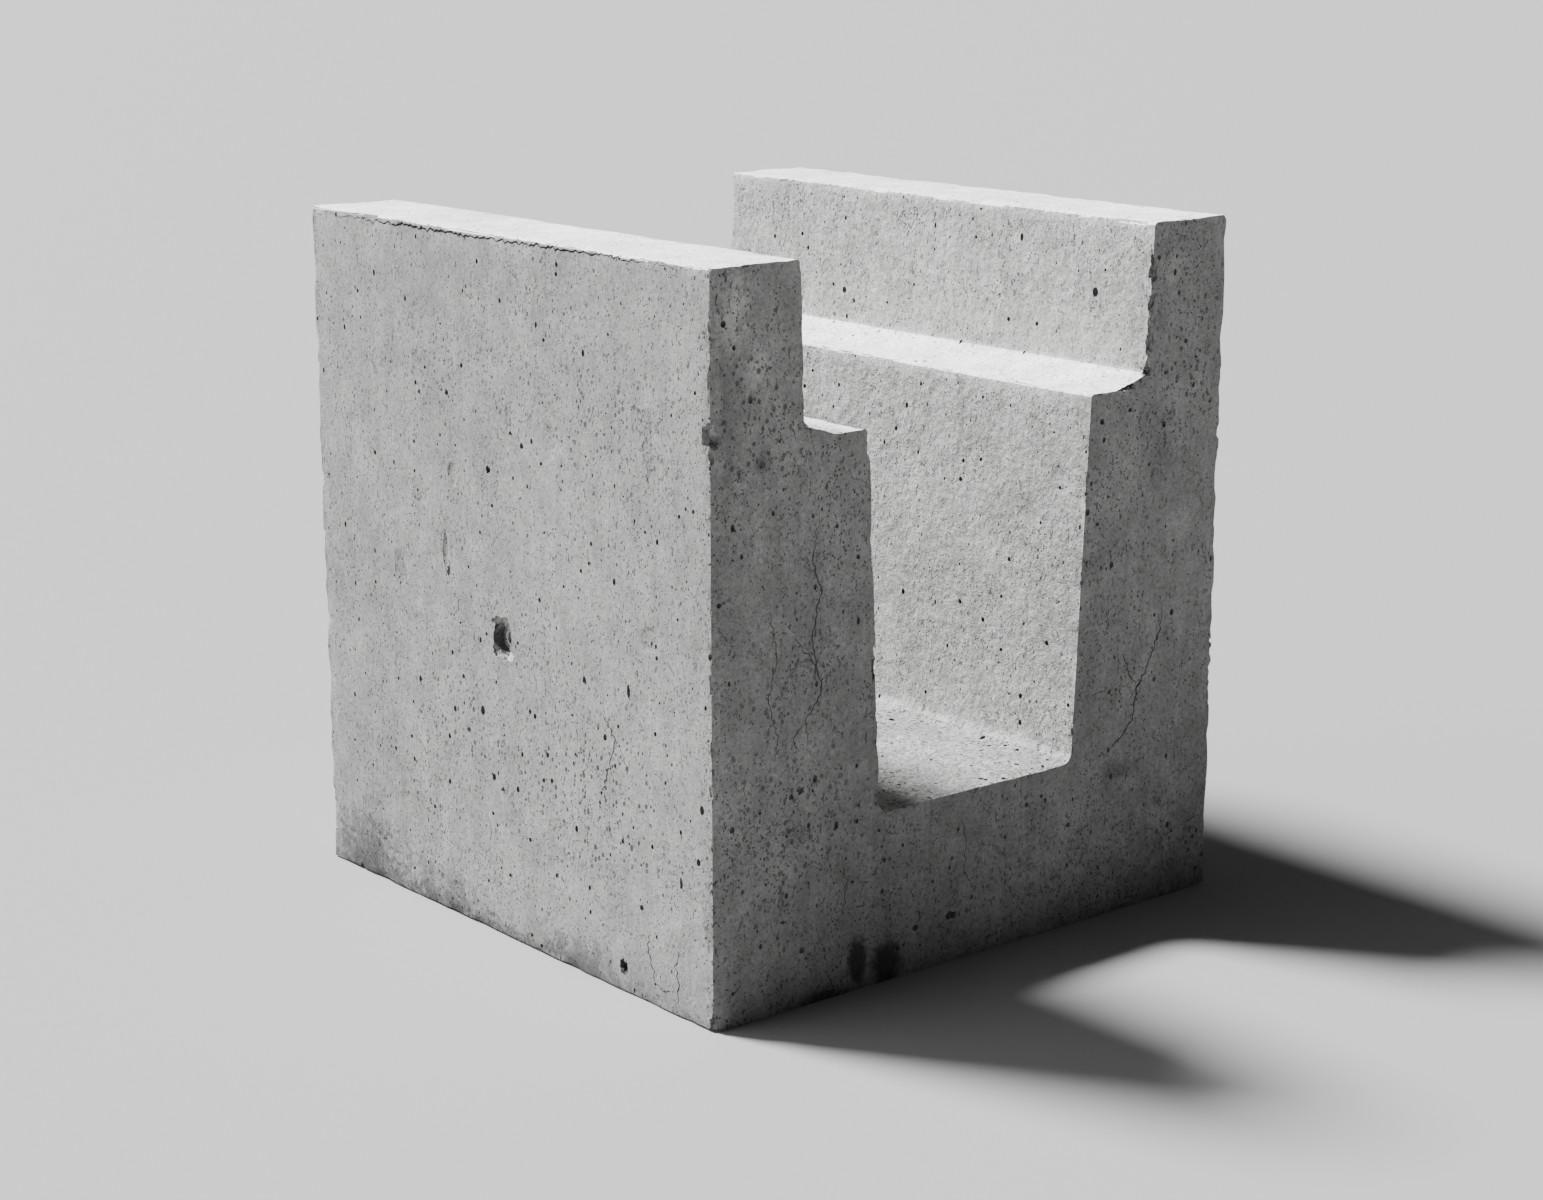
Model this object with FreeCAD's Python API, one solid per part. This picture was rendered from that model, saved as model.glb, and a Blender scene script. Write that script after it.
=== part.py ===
"""Rebated U-shaped precast concrete channel block, with its reinforcement and cast-in fittings.

Millimetres, +Z up. The origin is the centre of the underside. X runs across the two walls,
Y runs along the channel. Every named piece is written as its own STEP file in parts/.
"""

import FreeCAD, Part
import math
import os

# Driving dimensions of the block.
WIDTH = 600.0
LENGTH = 600.0
HEIGHT = 640.0
REBATE_DEPTH = 147.0  # top of the walls down to the seats
FLOOR_THICKNESS = 156.0
WALL_AT_TOP = 95.0
WALL_AT_ROOT = 101.0  # upper wall where it meets the seat's cove
WALL_AT_SEAT = 170.0
WALL_AT_FLOOR = 185.0
COVE_WIDTH = 31.0
COVE_RISE = 11.0
ARRIS_RADIUS = 3.0
SEAT_ARRIS_RADIUS = 5.0
CROWN_RADIUS = 4.0
ROOT_RADIUS = 6.0
HAUNCH_RADIUS = 10.0

# Driving dimensions of the reinforcement.
COVER = 25.0
BAR_DIAMETER = 8.0
BAR_GAP = 0.5  # clear gap where two bars cross or lap
BEND_FACTOR = 2.5  # centreline bend radius as a multiple of the bar diameter
LINK_COUNT = 4
HAIRPIN_LAP = 193.0  # how far a hairpin's legs run below the seats
LINK_END_GAP = 12.0  # free end of a channel link to the outer link's leg
CROSS_BARS_PER_FACE = 3

# Driving dimensions of the fittings.
TIE_WIRE_RADIUS = 0.7
TIE_LOOP_CLEARANCE = 0.85  # wire's inner side to the bar's slanted outline
TIE_TAIL_LENGTH = 12.0
TIE_TAIL_RADIUS = 1.2
SPACER_SKIN = 1.5  # concrete left over a wheel spacer's rim
SPACER_THICKNESS = 12.0
SPACER_RIM = 3.0
SPACER_HUB_WALL = 3.0
SPACER_SPOKES = 6
CHAIR_LENGTH = 40.0
CHAIR_WIDTH = 30.0
SOCKET_DIAMETER = 22.0
SOCKET_LENGTH = 70.0
SOCKET_THREAD_HOLE_RADIUS = 7.0  # tapping-drill radius of an M16 thread
SOCKET_THREAD_LENGTH = 34.0
SOCKET_MOUTH_CHAMFER = 1.0
SOCKET_RECESS = 10.0  # face of the block to the mouth of the socket
RECESS_MOUTH_RADIUS = 13.5
RECESS_STEP = 1.0  # recess radius at the socket, beyond the socket itself
SOCKET_Z = 280.0  # a little above the centre of mass
ANCHOR_DIAMETER = 10.0
ANCHOR_LENGTH = 120.0
ANCHOR_FROM_TAIL = 12.0

# Sizes tied to the driving dimensions.
BAR_RADIUS = BAR_DIAMETER / 2
BAR_STEP = BAR_DIAMETER + BAR_GAP
BEND_RADIUS = BEND_FACTOR * BAR_DIAMETER
HALF_WIDTH = WIDTH / 2
SEAT_Z = HEIGHT - REBATE_DEPTH
CROWN_X = HALF_WIDTH - WALL_AT_TOP
ROOT_X = HALF_WIDTH - WALL_AT_ROOT
ARRIS_X = HALF_WIDTH - WALL_AT_SEAT
FLOOR_X = HALF_WIDTH - WALL_AT_FLOOR
SEAT_END_X = ROOT_X - COVE_WIDTH
COVE_TOP_Z = SEAT_Z + COVE_RISE
TO_BAR = COVER + BAR_RADIUS  # face of the concrete to a bar's centreline
LINK_END_MARGIN = TO_BAR + BAR_STEP  # end face to the first link's plane; the hairpin beside the last link keeps its cover

OUTER_LEG_X = HALF_WIDTH - TO_BAR
OUTER_RUN_Z = TO_BAR
CROWN_Z = HEIGHT - TO_BAR
CHANNEL_LEG_X = ARRIS_X + TO_BAR
CHANNEL_RUN_Z = FLOOR_THICKNESS - TO_BAR
SEAT_RUN_Z = SEAT_Z - TO_BAR
INNER_LEG_X = OUTER_LEG_X - 2 * BEND_RADIUS
HAIRPIN_END_Z = SEAT_Z - HAIRPIN_LAP
LINK_PITCH = (LENGTH - 2 * LINK_END_MARGIN) / (LINK_COUNT - 1)

# A bar nested in the inside of a bend lies this far from the bend's centre.
NEST = BEND_RADIUS - BAR_STEP
NEST_45 = NEST * math.sqrt(0.5)
CORNER_BAR_X = OUTER_LEG_X - BEND_RADIUS + NEST_45
CORNER_BAR_Z = OUTER_RUN_Z + BEND_RADIUS - NEST_45
SEAT_BAR_X = CHANNEL_LEG_X + BEND_RADIUS - NEST_45
SEAT_BAR_Z = SEAT_RUN_Z - BEND_RADIUS + NEST_45
CROWN_BAR_X = OUTER_LEG_X - BEND_RADIUS
CROWN_BAR_Z = CROWN_Z - BEND_RADIUS + NEST
WALL_BAR_X = OUTER_LEG_X - BAR_STEP
ROOT_BAR_X = INNER_LEG_X + BAR_STEP
ROOT_BAR_Z = COVE_TOP_Z + 2 * BAR_DIAMETER
CHANNEL_BAR_X = CHANNEL_LEG_X + BAR_STEP
BOTTOM_BAR_Z = OUTER_RUN_Z + BAR_STEP
FLOOR_BAR_Z = CHANNEL_RUN_Z - BAR_STEP
TOP_WALL_BAR_Z = SEAT_Z + BAR_DIAMETER

SIDES = (("left", -1.0), ("right", 1.0))
ALONG_Y = FreeCAD.Vector(0, 1, 0)


def vec(x, y, z):
    return FreeCAD.Vector(x, y, z)


def rounded_edges(corners, closed):
    """Straight edges joined by tangent arcs. corners is a list of (point, radius)."""
    count = len(corners)
    starts = []
    ends = []
    arcs = []
    for i in range(count):
        point, radius = corners[i]
        inner = closed or 0 < i < count - 1
        if not inner or radius <= 0:
            starts.append(point)
            ends.append(point)
            arcs.append(None)
            continue
        back = corners[i - 1][0].sub(point)
        ahead = corners[(i + 1) % count][0].sub(point)
        back.normalize()
        ahead.normalize()
        half_angle = back.getAngle(ahead) / 2
        tangent = radius / math.tan(half_angle)
        middle = back.add(ahead)
        middle.normalize()
        reach = radius / math.sin(half_angle) - radius
        first = point.add(back * tangent)
        last = point.add(ahead * tangent)
        arcs.append(Part.Arc(first, point.add(middle * reach), last).toShape())
        starts.append(first)
        ends.append(last)
    edges = []
    for i in range(count):
        if arcs[i] is not None:
            edges.append(arcs[i])
        if i == count - 1 and not closed:
            break
        following = starts[(i + 1) % count]
        if ends[i].distanceToPoint(following) > 1e-6:
            edges.append(Part.makeLine(ends[i], following))
    return edges


def swept_rod(edges, radius):
    """A round rod along tangent edges that start at the first edge's first point."""
    path = Part.Wire(edges)
    first = path.OrderedEdges[0]
    start = first.valueAt(first.FirstParameter)
    heading = first.tangentAt(first.FirstParameter)
    profile = Part.Face(Part.Wire(Part.makeCircle(radius, start, heading)))
    return path.makePipe(profile)


def bent_bar(points, y):
    """A reinforcing bar bent in the plane at this y. points is a list of (x, z)."""
    corners = [(vec(x, y, z), BEND_RADIUS) for x, z in points]
    return swept_rod(rounded_edges(corners, False), BAR_RADIUS)


def straight_bar(x, z):
    """A reinforcing bar along the channel, with end cover."""
    half = LENGTH / 2 - COVER
    return Part.makeCylinder(BAR_RADIUS, 2 * half, vec(x, -half, z), ALONG_Y)


def link_planes():
    """The y of each plane of links."""
    middle = (LINK_COUNT - 1) / 2
    return [(i - middle) * LINK_PITCH for i in range(LINK_COUNT)]


def make_section():
    """The block's outline across the walls, as one face."""
    half = [
        (HALF_WIDTH, 0.0, ARRIS_RADIUS),
        (HALF_WIDTH, HEIGHT, CROWN_RADIUS),
        (CROWN_X, HEIGHT, CROWN_RADIUS),
        (ROOT_X, COVE_TOP_Z, ROOT_RADIUS),
        (SEAT_END_X, SEAT_Z, ROOT_RADIUS),
        (ARRIS_X, SEAT_Z, SEAT_ARRIS_RADIUS),
        (FLOOR_X, FLOOR_THICKNESS, HAUNCH_RADIUS),
    ]
    whole = half + [(-x, z, radius) for x, z, radius in reversed(half)]
    corners = [(vec(x, -LENGTH / 2, z), radius) for x, z, radius in whole]
    return Part.Face(Part.Wire(rounded_edges(corners, True)))


def make_outer_link(y):
    """A U bar round the underside and up both outer faces."""
    points = [
        (-OUTER_LEG_X, CROWN_Z - BEND_RADIUS),
        (-OUTER_LEG_X, OUTER_RUN_Z),
        (OUTER_LEG_X, OUTER_RUN_Z),
        (OUTER_LEG_X, CROWN_Z - BEND_RADIUS),
    ]
    return bent_bar(points, y)


def make_channel_link(y):
    """A hat-shaped bar round the channel, with its ends under the two seats."""
    end_x = OUTER_LEG_X - LINK_END_GAP - BAR_RADIUS
    points = [
        (-end_x, SEAT_RUN_Z),
        (-CHANNEL_LEG_X, SEAT_RUN_Z),
        (-CHANNEL_LEG_X, CHANNEL_RUN_Z),
        (CHANNEL_LEG_X, CHANNEL_RUN_Z),
        (CHANNEL_LEG_X, SEAT_RUN_Z),
        (end_x, SEAT_RUN_Z),
    ]
    return bent_bar(points, y)


def make_hairpin(side, y):
    """An upside-down U bar in an upper wall, lapped beside the links."""
    points = [
        (side * OUTER_LEG_X, HAIRPIN_END_Z),
        (side * OUTER_LEG_X, CROWN_Z),
        (side * INNER_LEG_X, CROWN_Z),
        (side * INNER_LEG_X, HAIRPIN_END_Z),
    ]
    return bent_bar(points, y + BAR_STEP)


def wall_bar_heights():
    """Heights of the bars behind the outer face: below the socket, above it, and at the wall's root."""
    below = (CORNER_BAR_Z + SOCKET_Z) / 2
    above = (SOCKET_Z + TOP_WALL_BAR_Z) / 2
    return [below, above, TOP_WALL_BAR_Z]


def channel_bar_heights():
    """Heights of the bars behind the channel's inner faces."""
    rise = (SEAT_RUN_Z - CHANNEL_RUN_Z) / CROSS_BARS_PER_FACE
    return [CHANNEL_RUN_Z + rise * (i + 1) for i in range(CROSS_BARS_PER_FACE - 1)]


def bottom_bar_places():
    """The x of each bar between the two bottom corner bars."""
    pitch = 2 * CORNER_BAR_X / (CROSS_BARS_PER_FACE + 1)
    return [-CORNER_BAR_X + pitch * (i + 1) for i in range(CROSS_BARS_PER_FACE)]


def floor_bar_places():
    """The x of each bar under the channel's floor."""
    pitch = 2 * CHANNEL_LEG_X / CROSS_BARS_PER_FACE
    middle = (CROSS_BARS_PER_FACE - 1) / 2
    return [pitch * (i - middle) for i in range(CROSS_BARS_PER_FACE)]


def make_straight_bars():
    """Every bar that runs along the channel, by name."""
    bars = {}
    for i, x in enumerate(bottom_bar_places(), 1):
        bars["bottom_bar_%d" % i] = straight_bar(x, BOTTOM_BAR_Z)
    for i, x in enumerate(floor_bar_places(), 1):
        bars["floor_bar_%d" % i] = straight_bar(x, FLOOR_BAR_Z)
    for name, side in SIDES:
        bars[name + "_corner_bar"] = straight_bar(side * CORNER_BAR_X, CORNER_BAR_Z)
        bars[name + "_seat_bar"] = straight_bar(side * SEAT_BAR_X, SEAT_BAR_Z)
        bars[name + "_root_bar"] = straight_bar(side * ROOT_BAR_X, ROOT_BAR_Z)
        bars[name + "_crown_bar"] = straight_bar(side * CROWN_BAR_X, CROWN_BAR_Z)
        for i, z in enumerate(wall_bar_heights(), 1):
            bars["%s_wall_bar_%d" % (name, i)] = straight_bar(side * WALL_BAR_X, z)
        for i, z in enumerate(channel_bar_heights(), 1):
            bars["%s_channel_bar_%d" % (name, i)] = straight_bar(side * CHANNEL_BAR_X, z)
    return bars


def make_tie(link_point, bar_point, link_heading):
    """A wire loop set diagonally round a link and the bar that crosses it, with its twisted tail."""
    across = bar_point.sub(link_point)
    across.normalize()
    slant = link_heading.add(ALONG_Y)
    slant.normalize()
    radius = BAR_RADIUS * math.sqrt(2) + TIE_LOOP_CLEARANCE + TIE_WIRE_RADIUS
    near_a = link_point.add(slant * radius)
    near_b = link_point.sub(slant * radius)
    far_a = bar_point.add(slant * radius)
    far_b = bar_point.sub(slant * radius)
    loop = [
        Part.makeLine(near_a, far_a),
        Part.Arc(far_a, bar_point.add(across * radius), far_b).toShape(),
        Part.makeLine(far_b, near_b),
        Part.Arc(near_b, link_point.sub(across * radius), near_a).toShape(),
    ]
    wire = swept_rod(loop, TIE_WIRE_RADIUS)
    tail_start = bar_point.add(across * radius)
    tail = Part.makeCylinder(TIE_TAIL_RADIUS, TIE_TAIL_LENGTH, tail_start, across)
    return wire.fuse(tail).removeSplitter()


def make_tie_set(y):
    """The ties in one plane of links, as one piece per crossing that is tied."""
    ties = []
    along_x = vec(1, 0, 0)
    along_z = vec(0, 0, 1)
    wall_z = wall_bar_heights()[0]
    channel_z = channel_bar_heights()[0]
    bottom_x = bottom_bar_places()[-1]
    floor_x = floor_bar_places()[-1]
    for side in (-1.0, 1.0):
        crossings = [
            (vec(side * bottom_x, y, OUTER_RUN_Z), vec(side * bottom_x, y, BOTTOM_BAR_Z), along_x),
            (vec(side * floor_x, y, CHANNEL_RUN_Z), vec(side * floor_x, y, FLOOR_BAR_Z), along_x),
            (vec(side * OUTER_LEG_X, y, wall_z), vec(side * WALL_BAR_X, y, wall_z), along_z),
            (vec(side * CHANNEL_LEG_X, y, channel_z), vec(side * CHANNEL_BAR_X, y, channel_z), along_z),
        ]
        for link_point, bar_point, heading in crossings:
            ties.append(make_tie(link_point, bar_point, heading))
    return Part.makeCompound(ties)


def make_wheel_spacer(side, y):
    """A spoked wheel clipped round an outer link's leg."""
    z = (CORNER_BAR_Z + wall_bar_heights()[0]) / 2 - SPACER_THICKNESS / 2
    centre = vec(side * OUTER_LEG_X, y, z)
    outer = TO_BAR - SPACER_SKIN
    hub = BAR_RADIUS + SPACER_HUB_WALL
    rim = Part.makeCylinder(outer, SPACER_THICKNESS, centre)
    rim = rim.cut(Part.makeCylinder(outer - SPACER_RIM, SPACER_THICKNESS, centre))
    wheel = rim.fuse(Part.makeCylinder(hub, SPACER_THICKNESS, centre))
    for i in range(SPACER_SPOKES):
        length = outer - SPACER_RIM / 2
        spoke = Part.makeBox(length, SPACER_RIM, SPACER_THICKNESS, vec(0, -SPACER_RIM / 2, 0))
        spoke.rotate(vec(0, 0, 0), vec(0, 0, 1), (i + 0.5) * 360.0 / SPACER_SPOKES)
        spoke.translate(centre)
        wheel = wheel.fuse(spoke)
    wheel = wheel.cut(Part.makeCylinder(BAR_RADIUS, SPACER_THICKNESS, centre))
    return wheel.removeSplitter()


def make_base_chair(side, y, link):
    """A mortar block under an outer link's bottom run, grooved to hold it."""
    x = side * (bottom_bar_places()[-1] + CORNER_BAR_X) / 2
    corner = vec(x - CHAIR_LENGTH / 2, y - CHAIR_WIDTH / 2, 0)
    block = Part.makeBox(CHAIR_LENGTH, CHAIR_WIDTH, OUTER_RUN_Z, corner)
    return block.cut(link)


def make_anchor_bar(side):
    """The cross bar through the tail of a lifting socket."""
    x = side * (HALF_WIDTH - SOCKET_RECESS - SOCKET_LENGTH + ANCHOR_FROM_TAIL)
    start = vec(x, -ANCHOR_LENGTH / 2, SOCKET_Z)
    return Part.makeCylinder(ANCHOR_DIAMETER / 2, ANCHOR_LENGTH, start, ALONG_Y)


def make_socket(side, anchor):
    """A steel lifting socket, blind, with its mouth towards the outer face."""
    inward = vec(-side, 0, 0)
    mouth = vec(side * (HALF_WIDTH - SOCKET_RECESS), 0, SOCKET_Z)
    body = Part.makeCylinder(SOCKET_DIAMETER / 2, SOCKET_LENGTH, mouth, inward)
    depth = SOCKET_THREAD_LENGTH + SOCKET_MOUTH_CHAMFER
    hole = Part.makeCylinder(SOCKET_THREAD_HOLE_RADIUS, depth, mouth, inward)
    wide = SOCKET_THREAD_HOLE_RADIUS + SOCKET_MOUTH_CHAMFER
    lead_in = Part.makeCone(wide, SOCKET_THREAD_HOLE_RADIUS, SOCKET_MOUTH_CHAMFER, mouth, inward)
    return body.cut(hole).cut(lead_in).cut(anchor)


def make_socket_space(side):
    """The room a socket and its recess take out of the concrete."""
    inward = vec(-side, 0, 0)
    face = vec(side * HALF_WIDTH, 0, SOCKET_Z)
    mouth = vec(side * (HALF_WIDTH - SOCKET_RECESS), 0, SOCKET_Z)
    body = Part.makeCylinder(SOCKET_DIAMETER / 2, SOCKET_LENGTH, mouth, inward)
    inner = SOCKET_DIAMETER / 2 + RECESS_STEP
    recess = Part.makeCone(RECESS_MOUTH_RADIUS, inner, SOCKET_RECESS, face, inward)
    return body.fuse(recess)


def build():
    """Every piece of the block, by name."""
    parts = {}
    planes = link_planes()
    for i, y in enumerate(planes, 1):
        parts["outer_link_%d" % i] = make_outer_link(y)
        parts["channel_link_%d" % i] = make_channel_link(y)
        for name, side in SIDES:
            parts["%s_hairpin_%d" % (name, i)] = make_hairpin(side, y)
        parts["tie_set_%d" % i] = make_tie_set(y)
    parts.update(make_straight_bars())
    end_planes = ((1, planes[0]), (LINK_COUNT, planes[-1]))
    for name, side in SIDES:
        for i, (link, y) in enumerate(end_planes, 1):
            outer_link = parts["outer_link_%d" % link]
            parts["%s_wheel_spacer_%d" % (name, i)] = make_wheel_spacer(side, y)
            parts["%s_base_chair_%d" % (name, i)] = make_base_chair(side, y, outer_link)
    embedded = list(parts.values())
    for name, side in SIDES:
        anchor = make_anchor_bar(side)
        parts[name + "_anchor_bar"] = anchor
        parts[name + "_lifting_socket"] = make_socket(side, anchor)
        embedded.append(anchor)
        embedded.append(make_socket_space(side))
    block = make_section().extrude(vec(0, LENGTH, 0))
    parts["concrete_body"] = block.cut(embedded)
    return parts


def main():
    os.makedirs("parts", exist_ok=True)
    for name, shape in sorted(build().items()):
        solids = shape.Solids
        whole = solids[0] if len(solids) == 1 else Part.makeCompound(solids)
        if not whole.isValid() or whole.Volume <= 0:
            raise ValueError("the piece %s isn't a sound solid" % name)
        whole.exportStep(os.path.join("parts", name + ".step"))
        print("%-24s %2d solid %12.1f mm3" % (name, len(solids), whole.Volume))


main()
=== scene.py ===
"""Looks of the rebated concrete channel block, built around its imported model.

Metres, +Z up. X runs across the two walls, Y along the channel, and the origin is the
centre of the underside. The end face at -Y is the one that the camera sees.
"""

from __future__ import annotations

import logging
import math
from collections.abc import Iterable, Mapping, Sequence
from dataclasses import dataclass, field
from enum import Enum

import bmesh
import bpy
import numpy as np
from mathutils import Matrix, Vector, noise


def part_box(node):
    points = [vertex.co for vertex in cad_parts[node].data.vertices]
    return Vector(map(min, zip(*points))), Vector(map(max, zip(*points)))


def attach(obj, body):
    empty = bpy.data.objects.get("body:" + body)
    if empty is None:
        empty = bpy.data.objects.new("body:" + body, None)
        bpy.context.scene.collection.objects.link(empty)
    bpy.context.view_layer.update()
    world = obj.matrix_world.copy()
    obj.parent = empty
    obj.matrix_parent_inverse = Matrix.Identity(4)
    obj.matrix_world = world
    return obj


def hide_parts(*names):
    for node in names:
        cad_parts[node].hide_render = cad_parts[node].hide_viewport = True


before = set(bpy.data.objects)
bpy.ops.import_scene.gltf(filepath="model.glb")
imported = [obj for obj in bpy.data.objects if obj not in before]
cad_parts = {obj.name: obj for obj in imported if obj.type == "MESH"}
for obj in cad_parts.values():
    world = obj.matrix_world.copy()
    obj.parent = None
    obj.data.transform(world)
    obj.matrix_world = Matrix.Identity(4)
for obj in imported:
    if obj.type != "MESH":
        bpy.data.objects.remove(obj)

LOG = logging.getLogger("channel_block")
MM = 0.001
Point = tuple[float, float, float]
Colour = tuple[float, float, float]
Node = bpy.types.Node
Socket = bpy.types.NodeSocket
Piece = bpy.types.Object
Material = bpy.types.Material


# ---- node trees


class NodeGraph:
    """A node tree that is filled by short calls."""

    def __init__(self, tree: bpy.types.NodeTree) -> None:
        """Keep the shader or geometry node tree to add to."""
        self.tree = tree

    def add(self, kind: str, inputs: Mapping | None = None, **settings: object) -> Node:
        """Add one node.

        Args:
            kind: The node's type name.
            inputs: What goes into its sockets, by name or number.
            settings: Properties to set on it.

        Returns:
            The new node.
        """
        node = self.tree.nodes.new(kind)
        for name, value in settings.items():
            setattr(node, name, value)
        for name, value in (inputs or {}).items():
            self.feed(node.inputs[name], value)
        return node

    def feed(self, socket: Socket, value: object) -> None:
        """Link a socket from another, or set its number.

        Args:
            socket: The input.
            value: An output socket, or a plain value.
        """
        if isinstance(value, Socket):
            self.tree.links.new(value, socket)
        elif value is not None:
            socket.default_value = value

    def maths(self, operation: str, *numbers: object) -> Socket:
        """Do one sum with a Math node, on numbers or sockets."""
        return self.add("ShaderNodeMath", dict(enumerate(numbers)), operation=operation).outputs[0]

    def times(self, a: object, b: object) -> Socket:
        """Multiply two numbers."""
        return self.maths("MULTIPLY", a, b)

    def vector(self, operation: str, *vectors: object) -> Node:
        """Do one sum with a Vector Math node, on vectors or sockets."""
        return self.add("ShaderNodeVectorMath", dict(enumerate(vectors)), operation=operation)

    def span(self, value: object, low: float, high: float, to_low: float = 0.0, to_high: float = 1.0) -> Socket:
        """Map low to high onto to_low to to_high, smoothly and held at both ends."""
        ends = dict(enumerate((value, low, high, to_low, to_high)))
        return self.add("ShaderNodeMapRange", ends, interpolation_type="SMOOTHSTEP", clamp=True).outputs[0]


class ShaderGraph(NodeGraph):
    """A material's tree, with the patterns that its finishes share."""

    def __init__(self, name: str) -> None:
        """Start a material with a plain shader.

        Args:
            name: The material's name.
        """
        self.material = bpy.data.materials.new(name)
        self.material.use_nodes = True
        super().__init__(self.material.node_tree)
        self.tree.nodes.clear()
        self.shader = self.add("ShaderNodeBsdfPrincipled")
        self.add("ShaderNodeOutputMaterial", {0: self.shader.outputs[0]})
        self.place = self.add("ShaderNodeTexCoord").outputs["Object"]

    def stretched(self, *scale: float) -> Socket:
        """Coordinates scaled by a different amount along each axis."""
        return self.vector("MULTIPLY", self.place, scale).outputs[0]

    def cloud(
        self, scale: float, detail: float = 4.0, rough: float = 0.55, at: object = None, warp: float = 0.0
    ) -> Socket:
        """A noise pattern, near 0.5 on average, with scale features per metre."""
        inputs = {"Vector": self.place if at is None else at, "Scale": scale, "Detail": detail}
        return self.add("ShaderNodeTexNoise", inputs | {"Roughness": rough, "Distortion": warp}).outputs[0]

    def pores(self, scale: float, widest: float, share: float, at: object = None) -> Socket:
        """Scattered round specks, 1 inside and 0 outside.

        Args:
            scale: Cells per metre.
            widest: The largest speck's radius as a share of a cell.
            share: The share of cells that hold a speck.
            at: Coordinates, if not the plain ones.

        Returns:
            The mask's socket.
        """
        node = self.add("ShaderNodeTexVoronoi", {"Vector": self.place if at is None else at, "Scale": scale})
        parts = self.add("ShaderNodeSeparateColor", {0: node.outputs["Color"]}).outputs
        held = self.maths("GREATER_THAN", parts[0], 1.0 - share)
        size = self.maths("ADD", self.times(self.times(parts[1], parts[1]), widest), widest * 0.25)
        inside = self.maths("SUBTRACT", 1.0, self.maths("DIVIDE", node.outputs["Distance"], size))
        return self.times(self.span(inside, 0.0, 0.35), held)

    def veins(self, scale: float, width: float) -> Socket:
        """Broken hairlines that wander over the surface, 1 on a line.

        Args:
            scale: Cells per metre.
            width: The lines' width in metres.

        Returns:
            The mask's socket.
        """
        sway = self.add("ShaderNodeTexNoise", {"Vector": self.place, "Scale": 42.0, "Detail": 4.0}).outputs["Color"]
        place = self.vector("MULTIPLY_ADD", sway, (0.05, 0.05, 0.03), self.stretched(1.0, 1.0, 0.62)).outputs[0]
        lines = self.add("ShaderNodeTexVoronoi", {"Vector": place}, feature="DISTANCE_TO_EDGE")
        self.feed(lines.inputs["Scale"], scale)
        line = self.span(lines.outputs["Distance"], 0.0, width * scale, 1.0, 0.0)
        return self.times(line, self.span(self.cloud(11.0, 3.0, 0.6), 0.47, 0.60))

    def near(self, spot: Spot) -> Socket:
        """A soft spot with a ragged edge: its strength at its centre and 0 past its reach.

        Args:
            spot: The spot.

        Returns:
            The mask's socket.
        """
        away = self.vector("SUBTRACT", self.place, spot.centre).outputs[0]
        away = self.vector("DIVIDE", away, spot.stretch).outputs[0]
        wander = spot.reach * spot.ragged
        edge = self.maths("MULTIPLY_ADD", self.cloud(70.0, 7.0, 0.72, warp=1.2), wander, -wander / 2)
        distance = self.maths("ADD", self.vector("LENGTH", away).outputs["Value"], edge)
        solid = spot.reach * max(0.1, 0.8 - 0.3 * spot.ragged)
        return self.times(self.span(distance, solid, spot.reach * 1.05, 1.0, 0.0), spot.strength)

    def tint(self, factor: object, a: object, b: object) -> Socket:
        """Mix two colours, with factor as the share of b."""
        a, b = (value if isinstance(value, Socket) else (*value, 1.0) for value in (a, b))
        return self.add("ShaderNodeMix", {0: factor, 6: a, 7: b}, data_type="RGBA", clamp_factor=True).outputs[2]

    def finish(self, colour: object, rough: object, height: object, depth: float) -> Material:
        """Join colour, roughness and relief to the shader.

        Args:
            colour: The base colour.
            rough: The roughness.
            height: The relief, 0 to 1.
            depth: How deep a relief of 1 is, in metres.

        Returns:
            The material.
        """
        bump = self.add("ShaderNodeBump", {"Strength": 1.0, "Distance": depth, "Height": height})
        for name, value in (("Base Color", colour), ("Roughness", rough), ("Normal", bump.outputs[0])):
            self.feed(self.shader.inputs[name], value)
        return self.material


# ---- finishes


class Skin(Enum):
    """The surfaces of the concrete, by how they were made; the upward tops also carry a painted highlight, and the
    walls of cut hollows are near-black painted shade.
    """

    FORMED = 0
    CHANNEL = 1
    FLOATED = 2
    BROKEN = 3
    VOID = 4
    TROWELLED = 5


@dataclass(frozen=True)
class Spot:
    """A darker or paler spot on the concrete: stains and pale patches, painted shade on dents, and a painted highlight
    on a broken lip.
    """

    centre: Point
    reach: float
    stretch: Point
    strength: float
    ragged: float = 2.4


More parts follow.
